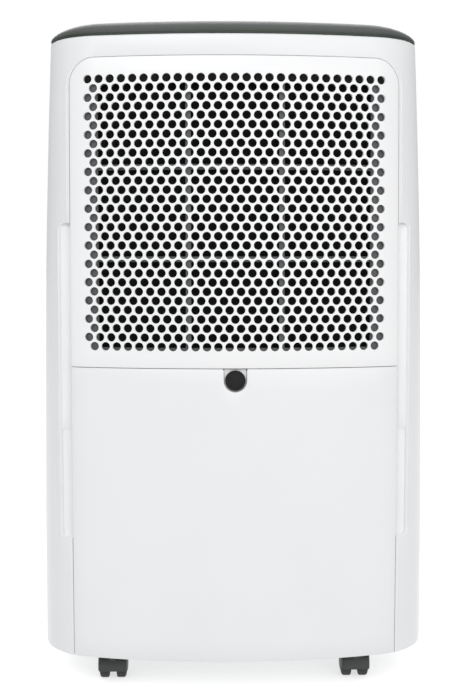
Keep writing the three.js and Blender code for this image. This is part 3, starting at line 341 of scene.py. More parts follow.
def finish(name, bm, body, material, nodes=(), wall=0.0, sharp=35):
    """Turns a shape into a piece in metres that rides on a body and stands for its CAD nodes."""
    bmesh.ops.remove_doubles(bm, verts=bm.verts[:], dist=1e-3)
    if wall:
        bmesh.ops.recalc_face_normals(bm, faces=bm.faces[:])
    bmesh.ops.scale(bm, vec=(MM, MM, MM), verts=bm.verts[:])
    mesh = bpy.data.meshes.new(name)
    bm.to_mesh(mesh)
    bm.free()
    obj = bpy.data.objects.new(name, mesh)
    bpy.context.scene.collection.objects.link(obj)
    if wall:
        shell = obj.modifiers.new("wall", "SOLIDIFY")
        shell.thickness = wall * MM
        shell.offset = -1
        shell.use_even_offset = True
        shell.use_quality_normals = True
        bpy.context.view_layer.update()
        walled = bpy.data.meshes.new_from_object(
            obj.evaluated_get(bpy.context.evaluated_depsgraph_get())
        )
        obj.modifiers.clear()
        obj.data = walled
        walled.name = name
    obj.data.shade_smooth()
    obj.data.set_sharp_from_angle(angle=math.radians(sharp))
    obj.data.materials.clear()
    obj.data.materials.append(material)
    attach(obj, body)
    if nodes:
        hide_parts(*nodes)
    return obj


def span(node):
    """A CAD node's box in millimetres."""
    low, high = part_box(node)
    return low / MM, high / MM


# ---------------------------------------------------------------- finishes


def colour(text):
    """An sRGB hex colour as linear values."""
    parts = [int(text[i : i + 2], 16) / 255 for i in (1, 3, 5)]
    return (*[c / 12.92 if c <= 0.04045 else ((c + 0.055) / 1.055) ** 2.4 for c in parts], 1.0)


def add(tree, kind, links=None, **settings):
    """A node with its settings, whose inputs take values or other nodes' outputs."""
    node = tree.nodes.new("ShaderNode" + kind)
    for key, value in settings.items():
        setattr(node, key, value)
    for key, value in (links or {}).items():
        if isinstance(value, bpy.types.NodeSocket):
            tree.links.new(value, node.inputs[key])
        else:
            node.inputs[key].default_value = value
    return node


def fresh(name, **sockets):
    """A material with its shader, and the object's own coordinates."""
    material = bpy.data.materials.new(name)
    material.use_nodes = True
    tree = material.node_tree
    shader = tree.nodes["Principled BSDF"]
    for key, value in sockets.items():
        shader.inputs[key.replace("_", " ")].default_value = value
    place = add(tree, "TexCoord").outputs["Object"]
    return material, tree, shader, place


def grain(tree, place, size, detail=3.0):
    """Noise whose blotches are about so many millimetres across."""
    return add(
        tree, "TexNoise", {"Vector": place, "Scale": 1 / (size * MM), "Detail": detail}
    ).outputs["Fac"]


def spread(tree, value, low, high, start=0.3, end=0.7):
    return add(
        tree, "MapRange",
        {"Value": value, "From Min": start, "From Max": end, "To Min": low, "To Max": high},
    ).outputs["Result"]


def blend_of(tree, value, one, other, start=0.3, end=0.7):
    """A colour between two, as a value goes from start to end."""
    ramp = add(tree, "ValToRGB", {"Fac": value})
    ramp.color_ramp.elements[0].position = start
    ramp.color_ramp.elements[1].position = end
    ramp.color_ramp.elements[0].color = colour(one)
    ramp.color_ramp.elements[1].color = colour(other)
    return ramp.outputs["Color"]


def relief(tree, shader, height, depth, strength=1.0):
    bump = add(tree, "Bump", {"Height": height, "Distance": depth * MM, "Strength": strength})
    tree.links.new(bump.outputs["Normal"], shader.inputs["Normal"])


def moulded(name, light, dark, rough, texture, depth, gloss=0.5, drift=60.0):
    """Injection-moulded plastic: an even colour that drifts a little, and a fine texture."""
    material, tree, shader, place = fresh(name, IOR=1.49, Specular_IOR_Level=gloss)
    base = blend_of(tree, grain(tree, place, drift), dark, light)
    tree.links.new(base, shader.inputs["Base Color"])
    fine = grain(tree, place, texture, 2.0)
    tree.links.new(spread(tree, fine, rough - 0.02, rough + 0.03), shader.inputs["Roughness"])
    relief(tree, shader, fine, depth)
    return material


def brushed(name, light, dark, rough, metallic=1.0, stretch=(1, 1, 12), size=0.7):
    """Rolled or drawn metal: fine lines along one direction, and a patchy sheen."""
    material, tree, shader, place = fresh(name, Metallic=metallic)
    lines = add(tree, "Mapping", {"Vector": place, "Scale": stretch}).outputs["Vector"]
    fine = grain(tree, lines, size * max(stretch))
    base = blend_of(tree, grain(tree, place, 14), dark, light)
    tree.links.new(base, shader.inputs["Base Color"])
    tree.links.new(spread(tree, fine, rough - 0.08, rough + 0.1), shader.inputs["Roughness"])
    relief(tree, shader, fine, 0.03)
    return material


# Satin white ABS of the casing: nearly smooth, so it holds a soft broad reflection.
casing_white = moulded("abs_white_satin", "#f3f4f5", "#f1f2f4", 0.32, 0.8, 0.002)
# The intake panel is the same plastic, a little whiter and from a finer mould.
panel_white = moulded("abs_white_panel", "#f9f9fa", "#f7f8f9", 0.34, 0.8, 0.002)
# Dark green-grey ABS of the lid, with a matt grain.
lid_grey = moulded("abs_lid_grey", "#424744", "#3b403c", 0.42, 0.9, 0.02)
# Black acrylic over the display and the keys: polished, so nearly a mirror.
acrylic_black = moulded("acrylic_black_polished", "#0c0d0e", "#08090a", 0.07, 30, 0.0, 0.6)
# Mid grey ABS of hidden trays and keys.
tray_grey = moulded("abs_tray_grey", "#8f9294", "#86898b", 0.5, 1.0, 0.03)
key_grey = moulded("abs_key_grey", "#c3c6c8", "#bdc0c2", 0.38, 0.8, 0.015)
# Polypropylene filter frame: dull, dark grey.
filter_grey = moulded("polypropylene_filter_grey", "#5e5f61", "#555658", 0.6, 0.9, 0.03)
# Nylon of the castor hoods, with a fine matt grain.
castor_nylon = moulded("nylon_castor_grey", "#3a3d3c", "#303332", 0.46, 0.7, 0.03)
# Polyurethane tread: softer and duller than the hood.
tread_grey = moulded("polyurethane_tread", "#2e3030", "#262828", 0.7, 0.5, 0.05)
# Moulded rubber of the plug: dull, with a trace of bloom.
plug_rubber = moulded("rubber_moulded_black", "#212122", "#1a1a1b", 0.75, 0.6, 0.05, 0.25, 6)
# Black sheet that paints the shade behind the first row of holes, under the filter's top bar.
painted_shade_black = moulded("painted_shade_black_sheet", "#202020", "#181818", 0.95, 0.4, 0.15, 0.1, 5)
# Smoked acrylic over the display's digits.
glass_smoked = moulded("acrylic_smoked", "#1c2024", "#181c20", 0.05, 30, 0.0, 0.7)
# The ring under the lid: slightly green ABS, made darker to paint the shade in the gap under the
# lid.
rim_painted_shade = moulded("abs_rim_green_painted_shade", "#2c372d", "#263026", 0.5, 0.8, 0.01)
# Baked black paint on pressed steel.
steel_black = moulded("steel_black_enamel", "#1b1c1d", "#141516", 0.32, 2.2, 0.04)
# Fibreglass board with green solder mask.
board_green = moulded("fibreglass_board_green", "#1f5c3b", "#174a2f", 0.4, 2.5, 0.03)
# Drawn copper pipe, slightly tarnished.
copper_pipe = brushed("copper_drawn", "#c57a4f", "#a45f3b", 0.32)
# Rolled aluminium fins.
fin_metal = brushed("aluminium_rolled_fins", "#d0d4d6", "#bfc4c7", 0.38)
# Hot-dip galvanised sheet: its spangle shows as dull patches.
sheet_metal = brushed("steel_galvanised", "#b3b7b9", "#989da0", 0.42, 0.9, (1, 1, 1), 9)


def clear_tank():
    """Moulded translucent polypropylene: milky, and clearer at a grazing light."""
    material, tree, shader, place = fresh(
        "polypropylene_tank_clear", IOR=1.49, Transmission_Weight=0.55, Roughness=0.32
    )
    base = blend_of(tree, grain(tree, place, 40), "#dfe8ec", "#eef3f5")
    tree.links.new(base, shader.inputs["Base Color"])
    relief(tree, shader, grain(tree, place, 1.2), 0.03)
    return material


def filter_net():
    """Woven nylon net, its threads 1.2 mm apart: coarser than the usual 0.6 mm, so it shows."""
    material, tree, shader, place = fresh(
        "nylon_net_black", Roughness=0.85, Specular_IOR_Level=0.2
    )
    pitch = 2 * math.pi / (1.2 * MM) / 20
    threads = [
        add(
            tree, "TexWave", {"Vector": place, "Scale": pitch, "Distortion": 0.0},
            bands_direction=direction,
        ).outputs["Fac"]
        for direction in ("X", "Z")
    ]
    both = add(
        tree, "Math", {0: threads[0], 1: threads[1]}, operation="MAXIMUM"
    ).outputs["Value"]
    base = blend_of(tree, both, "#050505", "#151516", 0.55, 0.95)
    tree.links.new(base, shader.inputs["Base Color"])
    relief(tree, shader, both, 0.12)
    return material


tank_clear = clear_tank()
net_black = filter_net()

# ---------------------------------------------------------------- rear shell


def smallest_face(bm):
    return min(bm.faces, key=lambda f: f.calc_area())


def rear_shell():
    """The rear half of the casing: half a sheet with its opening and groove, mirrored and bent."""
    bm = bmesh.new()
    wide = OPENING_HALF + GROOVE_WIDTH
    outline = [
        (0, OPENING_TOP), (OPENING_HALF, OPENING_TOP), (OPENING_HALF, GROOVE_HIGH),
        (wide, GROOVE_HIGH), (wide, GROOVE_LOW), (OPENING_HALF, GROOVE_LOW),
        (OPENING_HALF, BOTTOM), (SHEET_END, BOTTOM), (SHEET_END, TOP), (0, TOP),
    ]
    verts = [bm.verts.new((x, 0, z)) for x, z in outline]
    bm.faces.new(verts)
    bm.faces.new([verts[2], verts[5], verts[4], verts[3]])
    round_points(bm, [verts[1]], OPENING_ROUND, 10)
    corners = [v for v in smallest_face(bm).verts if v.co.x > OPENING_HALF + 1]
    round_points(bm, corners, GROOVE_ROUND, 5)
    groove = smallest_face(bm)
    made = bmesh.ops.extrude_face_region(bm, geom=[groove])["geom"]
    bmesh.ops.translate(bm, vec=(0, GROOVE_DEPTH, 0), verts=verts_of(made))
    mouth = [groove] + [
        f for f in bm.faces
        if f is not groove and all(abs(v.co.x - OPENING_HALF) < NEAR for v in f.verts)
        and f.calc_center_median().y > 1
    ]
    bmesh.ops.delete(bm, geom=mouth, context="FACES")

    def rim_at(depth):
        """The opening's edges at a depth, without those on the centre line and at the foot."""
        return [
            e for e in bm.edges
            if e.is_boundary and all(
                abs(v.co.y - depth) < NEAR and v.co.x < OPENING_HALF + NEAR
                and v.co.z < OPENING_TOP + NEAR for v in e.verts
            )
            and not all(v.co.x < NEAR for v in e.verts)
            and not all(v.co.z < BOTTOM + NEAR for v in e.verts)
        ]

    push(bm, rim_at(0), (0, GROOVE_DEPTH, 0))
    bmesh.ops.remove_doubles(bm, verts=bm.verts[:], dist=NEAR)
    push(bm, rim_at(GROOVE_DEPTH), (0, JAMB_DEPTH - GROOVE_DEPTH, 0))
    # The groove's floor rises outwards, so that a fingertip runs in behind the panel.
    slice_at(bm, (0, 0, GROOVE_STEP), (0, 0, 1))
    slice_at(bm, (0, 0, GROOVE_STEP - 1), (0, 0, 1))
    for v in bm.verts:
        if abs(v.co.y - GROOVE_DEPTH) < NEAR and v.co.x > OPENING_HALF + NEAR:
            rise = GROOVE_RISE if v.co.z > GROOVE_STEP - 0.5 else GROOVE_RISE - GROOVE_EASE
            v.co.y *= 1 - rise * (v.co.x - OPENING_HALF) / GROOVE_WIDTH
    soften_front(bm)
    slice_every(bm, 0, CORNER_START, SHEET_END, CORNER_STEP)
    slice_lip(bm)
    slice_every(bm, 0, 0, 96, 12)
    slice_every(bm, 2, BOTTOM, TOP, 15.8)
    bmesh.ops.mirror(bm, geom=everything(bm), axis="X", merge_dist=NEAR)
    bmesh.ops.remove_doubles(bm, verts=bm.verts[:], dist=NEAR)
    lay(bm, round_rear)
    return finish(
        "casing_rear", bm, "housing", casing_white, ["rear_shell"], wall=WALL
    )


def front_shell():
    """The plain front half of the casing."""
    bm = bmesh.new()
    oblong(bm, -1, 1, BOTTOM, TOP, across=96, up=30)
    slice_lip(bm)
    lay(bm, round_front)
    return finish(
        "casing_front", bm, "housing", casing_white, ["front_shell"], wall=WALL
    )


# ---------------------------------------------------------------- intake panel

HOLE, PITCH_X, PITCH_Z, COLUMNS, ROWS = 6.5, 8.5, 6.89, 27, 30
FIELD_MIDDLE = (GRILLE_LOW + GRILLE_TOP) / 2
FIRST_ROW = FIELD_MIDDLE + (ROWS - 1) / 2 * PITCH_Z
MARGIN_CUTS = (117, 119.5, 122)  # the plain margin beside the holes is cut here, to bend evenly


def bored_cell(bm, wide, high, bore, across=6, up=4, segments=20):
    """One round hole in its own oblong of sheet, whose edges match those of its neighbours."""
    sheet = oblong(bm, -wide / 2, wide / 2, -high / 2, high / 2, across=across, up=up)
    outer = [e for e in bm.edges if e.is_boundary]
    bmesh.ops.delete(bm, geom=[v for v in sheet if not v.is_boundary], context="VERTS")
    bmesh.ops.delete(bm, geom=bm.faces[:], context="FACES_ONLY")
    hole = bmesh.ops.create_circle(
        bm, segments=segments, radius=bore / 2, matrix=Matrix.Rotation(math.pi / 2, 4, "X")
    )["verts"]
    rim = list({e for v in hole for e in v.link_edges})
    bmesh.ops.bridge_loops(bm, edges=rim + outer)
    inner = [e for e in bm.edges if e.is_wire]
    bmesh.ops.delete(bm, geom=inner, context="EDGES")


def row_of(bm, geom, count, step):
    """Repeats geometry in a straight row."""
    bmesh.ops.spin(
        bm, geom=geom, cent=(0, 0, 0), axis=(0, 0, 1), dvec=step, angle=0, steps=count - 1,
        use_duplicate=True,
    )


def intake_panel():
    """The panel over the filter: rows of holes, every second one shorter, in a plain margin."""
    bm = bmesh.new()
    bored_cell(bm, PITCH_X, PITCH_Z, HOLE)
    left = -(COLUMNS - 1) / 2 * PITCH_X
    bmesh.ops.translate(bm, vec=(left, 0, FIRST_ROW), verts=bm.verts[:])
    cell = everything(bm)
    even = bmesh.ops.duplicate(bm, geom=cell)["geom"]
    bmesh.ops.translate(bm, vec=(PITCH_X / 2, 0, -PITCH_Z), verts=verts_of(even))
    row_of(bm, cell, COLUMNS, (PITCH_X, 0, 0))
    row_of(bm, even, COLUMNS - 1, (PITCH_X, 0, 0))
    end = COLUMNS / 2 * PITCH_X
    for x0 in (-end, end - PITCH_X / 2):
        low = FIRST_ROW - 1.5 * PITCH_Z
        oblong(bm, x0, x0 + PITCH_X / 2, low, low + PITCH_Z, across=3, up=4)
    row_of(bm, everything(bm), ROWS // 2, (0, 0, -2 * PITCH_Z))
    bmesh.ops.remove_doubles(bm, verts=bm.verts[:], dist=NEAR)
    high, low = FIRST_ROW + PITCH_Z / 2, FIRST_ROW - (ROWS - 0.5) * PITCH_Z
    for side in (-1, 1):
        edges = edges_where(bm, lambda p: abs(p.x - side * end) < NEAR)
        push(bm, edges, (side * (PANEL_HALF - end), 0, 0))
    for z, to in ((high, GRILLE_TOP), (low, GRILLE_LOW)):
        edges = edges_where(bm, lambda p: abs(p.z - z) < NEAR)
        push(bm, [e for e in edges if e.is_boundary], (0, 0, to - z))
    radius = OPENING_ROUND - SEAM
    for side, turn in ((1, 0.0), (-1, math.pi / 2)):
        round_corner(bm, side * (PANEL_HALF - radius), GRILLE_TOP - radius, radius, turn)
    for x in MARGIN_CUTS:
        slice_at(bm, (x, 0, 0), (1, 0, 0))
        slice_at(bm, (-x, 0, 0), (1, 0, 0))

    def outside(p):
        """Whether a point lies on the panel's own outline."""
        on_side = abs(abs(p.x) - PANEL_HALF) < NEAR
        on_end = abs(p.z - GRILLE_TOP) < NEAR or abs(p.z - GRILLE_LOW) < NEAR
        past_x, past_z = abs(p.x) - PANEL_HALF + radius, p.z - GRILLE_TOP + radius
        on_arc = past_x > 0 and past_z > 0 and math.hypot(past_x, past_z) > radius - 0.1
        return on_side or on_end or on_arc

    rim = [e for e in edges_where(bm, outside) if e.is_boundary]
    push(bm, rim, (0, PANEL_RETURN, 0))
    soften(bm, [e for e in rim if e.is_valid], EDGE_ROUND, 2)
    lay(bm, on_rear)
    return finish(
        "intake_panel", bm, "rear_grille", panel_white, ["rear_grille"],
        wall=PANEL_WALL, sharp=40,
    )


def painted_shade_strip():
    """A black sheet between the filter's top bar and the panel, seen through the first row: it
    paints the shade that falls there.
    """
    bm = bmesh.new()
    low, high = FIRST_ROW - PITCH_Z / 2, FIRST_ROW + PITCH_Z / 2 + 1
    # Painted shade: a dark sheet behind the first row of holes, where the filter's top bar shades
    # it.
    oblong(bm, -114, 114, low, high, y=PANEL_WALL + 0.2, across=38)
    lay(bm, on_rear)
    return finish("painted_shade_strip", bm, "rear_grille", painted_shade_black, wall=0.5)


# ---------------------------------------------------------------- tank front

NOTCH_HALF, NOTCH_DEPTH = 8.65, 17.4


def tank_front():
    """The tank's own face, with the notch that the plug stands in."""
    bm = bmesh.new()
    low = FACE_TOP - NOTCH_DEPTH
    outline = [
        (-PANEL_HALF, BOTTOM), (PANEL_HALF, BOTTOM), (PANEL_HALF, FACE_TOP),
        (NOTCH_HALF, FACE_TOP), (NOTCH_HALF, low), (-NOTCH_HALF, low),
        (-NOTCH_HALF, FACE_TOP), (-PANEL_HALF, FACE_TOP),
    ]
    verts = [bm.verts.new((x, 0, z)) for x, z in outline]
    bm.faces.new(verts)
    round_points(bm, verts[4:6], NOTCH_HALF - 0.05, 10)
    round_points(bm, [verts[3], verts[6]], 1.4, 3)
    push(bm, bm.edges[:], (0, FACE_RETURN, 0))
    soften_front(bm)
    slice_every(bm, 0, -126, 126, 6)
    slice_every(bm, 2, BOTTOM, FACE_TOP, 15)
    lay(bm, on_rear)
    return finish(
        "tank_front_panel", bm, "water_tank", casing_white, ["tank_front"],
        wall=FACE_WALL,
    )


# ---------------------------------------------------------------- lid


SKIRT_SCALE, SKIRT_DROP = (0.972, 0.965, 1), 9.0  # the skirt stands inside the casing


def crown_inset(share):
    """How far in the crown has come at a share of its height."""
    return CROWN * (1 - (1 - share**CROWN_POWER) ** (1 / CROWN_POWER))


WELL = span("carry_handle")
LOUVRE = span("outlet_louvre")
# The key plate is a little smaller than its CAD node, so that it stays on the flat of the lid.
KEYS = span("control_panel")
PLATE_HALF, PLATE_FRONT = 62.0, KEYS[1].y - 2.4


def on_deck(face):
    return all(v.co.z > LID_TOP - NEAR for v in face.verts)


def lid():
    """The crowned lid, with its sunk skirt and its wells for the handle, the flap and the keys."""
    bm = bmesh.new()
    base = TOP + RIM_HEIGHT
    oblong(bm, 0, 1, 0, 1, across=180, up=14)

    def crown(flat):
        share = math.sin(flat.z * math.pi / 2)
        height = base + (LID_TOP - base) * share
        return on_casing(2 * HALF_RUN * (2 * flat.x - 1), height, crown_inset(share))

    lay(bm, crown)
    bmesh.ops.remove_doubles(bm, verts=bm.verts[:], dist=NEAR)
    low_edges = edges_where(bm, lambda p: p.z < base + NEAR)
    under = push(bm, [e for e in low_edges if e.is_boundary], (0, 0, 0))
    rim = {v for e in under for v in e.verts}
    bmesh.ops.scale(bm, vec=SKIRT_SCALE, verts=list(rim))
    push(bm, under, (0, 0, -SKIRT_DROP - RIM_HEIGHT))
    edge = [e for e in edges_where(bm, lambda p: p.z > LID_TOP - NEAR) if e.is_boundary]
    bmesh.ops.contextual_create(bm, geom=edge)
    # Each well's sides, its depth, the radius of its corners, and whether it is open below.
    wells = [
        (WELL[0].x - 1.5, WELL[1].x + 1.5, WELL[0].y - 1.5, WELL[1].y + 2.5, 15.0, 5.0, False),
        (LOUVRE[0].x + 1.4, LOUVRE[1].x - 1.4, LOUVRE[0].y - 0.6, LOUVRE[1].y + 0.6,
         LID_TOP - TOP, 2.5, True),
        (-PLATE_HALF - 0.4, PLATE_HALF + 0.4, KEYS[0].y - 0.4, PLATE_FRONT + 0.4,
         1.8, 2.0, False),
    ]
    for x0, x1, y0, y1, *_ in wells:
        for point, normal in (
            ((x0, 0, 0), (1, 0, 0)), ((x1, 0, 0), (1, 0, 0)),
            ((0, y0, 0), (0, 1, 0)), ((0, y1, 0), (0, 1, 0)),
        ):
            flat = [f for f in bm.faces if on_deck(f)]
            geom = list({x for f in flat for x in (*f.verts, *f.edges)}) + flat
            bmesh.ops.bisect_plane(bm, geom=geom, dist=1e-4, plane_co=point, plane_no=normal)
    for x0, x1, y0, y1, deep, corner, open_below in wells:
        cell = [
            f for f in bm.faces
            if on_deck(f) and x0 < f.calc_center_median().x < x1
            and y0 < f.calc_center_median().y < y1
        ]
        if len(cell) > 1:
            cell = bmesh.ops.dissolve_faces(bm, faces=cell)["region"]
        made = bmesh.ops.extrude_face_region(bm, geom=cell)["geom"]
        bmesh.ops.translate(bm, vec=(0, 0, -deep), verts=verts_of(made))
        spare = [f for f in cell if f.is_valid]
        if open_below:
            spare += [f for f in made if isinstance(f, bmesh.types.BMFace)]
        bmesh.ops.delete(bm, geom=spare, context="FACES_ONLY")

        def at_corner(edge):
            top, bottom = (v.co for v in edge.verts)
            return (
                abs(top.z - bottom.z) > deep - 0.1
                and min(abs(top.x - x0), abs(top.x - x1)) < NEAR
                and min(abs(top.y - y0), abs(top.y - y1)) < NEAR
            )

        soften(bm, [e for e in bm.edges if at_corner(e)], corner, 4)
    soften_front(bm, 1.2, LID_TOP)
    return finish("lid", bm, "housing", lid_grey, ["top_cover"], sharp=30)


def lid_rim():
    """The ring that the lid stands on, set back a hair from the casing; its dark colour paints the
    shade in the gap under the lid.
    """
    bm = bmesh.new()
    oblong(bm, 0, 1, TOP, TOP + RIM_HEIGHT + 0.3, across=180)
    lay(bm, lambda flat: on_casing(2 * HALF_RUN * (2 * flat.x - 1), flat.z, 0.35))
    # Painted shade: the ring's dark colour stands for the shadow in the gap between casing and
    # lid.
    return finish("lid_rim", bm, "housing", rim_painted_shade, wall=1.4)


# ---------------------------------------------------------------- fittings on the lid


def carry_handle():
    """A bail that folds flat, with a stepped pivot at each end."""
    bm = bmesh.new()
    low, high = span("carry_handle")
    middle = (low.z + high.z) / 2
    half = high.x - 9.0
    grip = [
        (-half, high.y - 4, middle), (-half, low.y + 14, middle), (-half + 8, low.y + 5, middle),
        (0, low.y + 4.6, middle), (half - 8, low.y + 5, middle), (half, low.y + 14, middle),
        (half, high.y - 4, middle),
    ]
    pipe(bm, grip, 3.9, 20, 8)
    long = 11.5
    pivot = [(0, 0), (3.6, 0), (4.2, 0.6), (4.2, 6.4), (2.5, 7), (2.5, long), (0, long)]
    mirrored = [(radius, long - height) for radius, height in reversed(pivot)]
    for x, profile in ((-half - 7.5, mirrored), (half - 4, pivot)):
        turned(bm, profile, (x, high.y - 4.2, middle), "x", 24)
    return finish("carry_bail", bm, "carry_handle", lid_grey, ["carry_handle"])


def outlet_flap():
    """A thin plate on a round hinge pin along its rear edge."""
    bm = bmesh.new()
    low, high = span("outlet_louvre")
    soft_block(bm, low.x + 2.2, high.x - 2.2, low.y, high.y, high.z - 2.6, high.z, 0.8, 3)
    turned(
        bm, [(0, 0), (1.5, 0.3), (1.5, high.x - low.x - 0.3), (0, high.x - low.x)],
        (low.x, low.y + 2.2, high.z - 2.4), "x", 20,
    )
    return finish("outlet_flap", bm, "outlet_louvre", lid_grey, ["outlet_louvre"])


VANES = 22


def outlet_vanes():
    """A frame of upright vanes under the flap, tied by one bar across them."""
    bm = bmesh.new()
    low, high = span("outlet_grille")
    middle = (low.y + high.y) / 2
    for y0, y1 in ((low.y, low.y + 2), (high.y - 2, high.y)):
        soft_block(bm, low.x, high.x, y0, y1, low.z, high.z, 0.4)
    for x0, x1 in ((low.x, low.x + 2), (high.x - 2, high.x)):
        soft_block(bm, x0, x1, low.y + 1, high.y - 1, low.z, high.z, 0.4)
    for i in range(1, VANES):
        x = low.x + (high.x - low.x) * i / VANES
        soft_block(bm, x - 0.7, x + 0.7, low.y + 1, high.y - 1, low.z + 1, high.z - 1, 0.3, 1)
    soft_block(
        bm, low.x + 1, high.x - 1, middle - 0.8, middle + 0.8, low.z + 0.5, high.z - 2, 0.3, 1
    )
    return finish("outlet_vanes", bm, "housing", lid_grey, ["outlet_grille"])


KEY_NAMES = ["power", "mode", "fan_speed", "timer", "humidity"]
KEY_BORE = 11.6
PLATE_ROUND = 2.0


def key_plate():
    """The black plate round the keys, bored for each, with a fine trim ring round each bore."""
    bm = bmesh.new()
    low, high = span("control_panel")
    first, last = (span(f"{name}_button") for name in (KEY_NAMES[0], KEY_NAMES[-1]))
    middle = (first[0].y + first[1].y) / 2
    count = len(KEY_NAMES)
    pitch = (last[0].x - first[0].x) / (count - 1)
    deep = 2 * (PLATE_FRONT - middle) - 1.5
    bored_cell(bm, pitch, deep, KEY_BORE, 8, 6, 28)
    bmesh.ops.translate(bm, vec=(-pitch * (count - 1) / 2, 0, 0), verts=bm.verts[:])
    row_of(bm, everything(bm), count, (pitch, 0, 0))
    bmesh.ops.remove_doubles(bm, verts=bm.verts[:], dist=NEAR)
    end = pitch * count / 2
    rear, front = low.y - middle, PLATE_FRONT - middle
    for side in (-1, 1):
        rim = edges_where(bm, lambda p: abs(p.x - side * end) < NEAR)
        push(bm, rim, (side * (PLATE_HALF - end), 0, 0))
    for z, to in ((deep / 2, front), (-deep / 2, rear)):
        rim = [e for e in edges_where(bm, lambda p: abs(p.z - z) < NEAR) if e.is_boundary]
        push(bm, rim, (0, 0, to - z))
    x = PLATE_HALF - PLATE_ROUND
    for side, z, turn in (
        (1, front - PLATE_ROUND, 0), (-1, front - PLATE_ROUND, math.pi / 2),
        (1, rear + PLATE_ROUND, -math.pi / 2), (-1, rear + PLATE_ROUND, math.pi),
    ):
        round_corner(bm, side * x, z, PLATE_ROUND, turn, 4)
    lay(bm, lambda flat: Vector((flat.x, flat.z + middle, high.z)))
    finish(
        "key_plate", bm, "housing", acrylic_black, ["control_panel"],
        wall=high.z - low.z,
    )
    trims = bmesh.new()
    bore = KEY_BORE / 2
    ring = [(bore - 0.1, -1), (bore + 0.55, -1), (bore + 0.55, 0.1), (bore + 0.4, 0.2),
            (bore - 0.1, 0.15), (bore - 0.1, -1)]
    for name in KEY_NAMES:
        key_low, key_high = span(f"{name}_button")
        centre = (key_low + key_high) / 2
        turned(trims, ring, (centre.x, centre.y, high.z), "z", 40)
    return finish("key_trims", trims, "housing", tray_grey)


def display_glass():
    bm = bmesh.new()
    low, high = span("display_window")
    soft_block(bm, low.x, high.x, low.y, high.y, low.z, high.z + 0.25, 0.4, 3)
    return finish("display_glass", bm, "housing", glass_smoked, ["display_window"])


def keys():
    """Round keys with a shallow dish, each on a narrower stem."""
    profile = [(0, -8), (4.4, -8), (4.4, -3), (5.4, -2.9), (5.4, -0.5), (5.25, -0.15), (4.9, 0),
               (3.2, -0.08), (1.6, -0.2), (0, -0.25)]
    for name in KEY_NAMES:
        bm = bmesh.new()
        low, high = span(f"{name}_button")
        centre = (low + high) / 2
        turned(bm, profile, (centre.x, centre.y, high.z), "z", 40)
        finish(f"{name}_key", bm, f"{name}_button", key_grey, [f"{name}_button"])


# ---------------------------------------------------------------- plug and castors


def drain_plug():
    """A rubber plug: a rolled rim round a shallow dish, and a stem that fills the spout."""
    bm = bmesh.new()
    low, high = span("drain_plug")
    long = high.y - low.y
    profile = [(0, 0.55), (4.6, 0.55), (5.6, 0.75), (6.2, 0.35), (6.7, 0.05), (7.3, 0.15),
               (7.65, 0.55), (7.7, 1.1), (7.7, 2.3), (7.4, 2.6), (3.6, 2.6), (3.6, long - 1),
               (3.0, long), (0, long)]
    place = ((low.x + high.x) / 2, low.y, (low.z + high.z) / 2)
    turned(bm, profile, place, "y", 48)
    return finish("rubber_plug", bm, "drain_plug", plug_rubber, ["drain_plug"])


def drain_spout():
    """The spout that the plug closes, with a face plate that fills the notch behind the plug."""
    bm = bmesh.new()
    low, high = span("drain_nozzle")
    middle = (low.z + high.z) / 2
    long = high.y - low.y
    profile = [(4.2, 0), (6.4, 0), (6.8, 0.4), (6.8, long - 6), (8.6, long - 5), (8.6, long),
               (4.2, long), (4.2, 0)]
    turned(bm, profile, (0, low.y, middle), "y", 36)
    plate = bmesh.new()
    top, foot = FACE_TOP - 0.3, middle - NOTCH_HALF + 0.3
    corners = oblong(plate, 0.3 - NOTCH_HALF, NOTCH_HALF - 0.3, foot, top)
    lower = [v for v in corners if v.co.z < middle]
    round_points(plate, lower, NOTCH_HALF - 0.4, 10)
    bmesh.ops.translate(plate, vec=(0, low.y - 0.2, 0), verts=plate.verts[:])
    bmesh.ops.solidify(plate, geom=plate.faces[:], thickness=1.2)
    finish("drain_face", plate, "housing", casing_white)
    return finish("drain_spout", bm, "housing", casing_white, ["drain_nozzle"])


WHEEL_RADIUS, TRAIL = 12.0, 7.0
AXLE_Z = WHEEL_RADIUS * math.cos(math.pi / 16)
HOOD_INSIDE, HOOD_CHEEK = 12.7, 6.5
# The hood starts in front of the wheels and runs over them to just under the axle behind.
HOOD_START, HOOD_SWEEP = math.radians(126), math.radians(156)
STEM_TOP = 45.0
CORNERS = ["rear_left", "rear_right", "front_left", "front_right"]


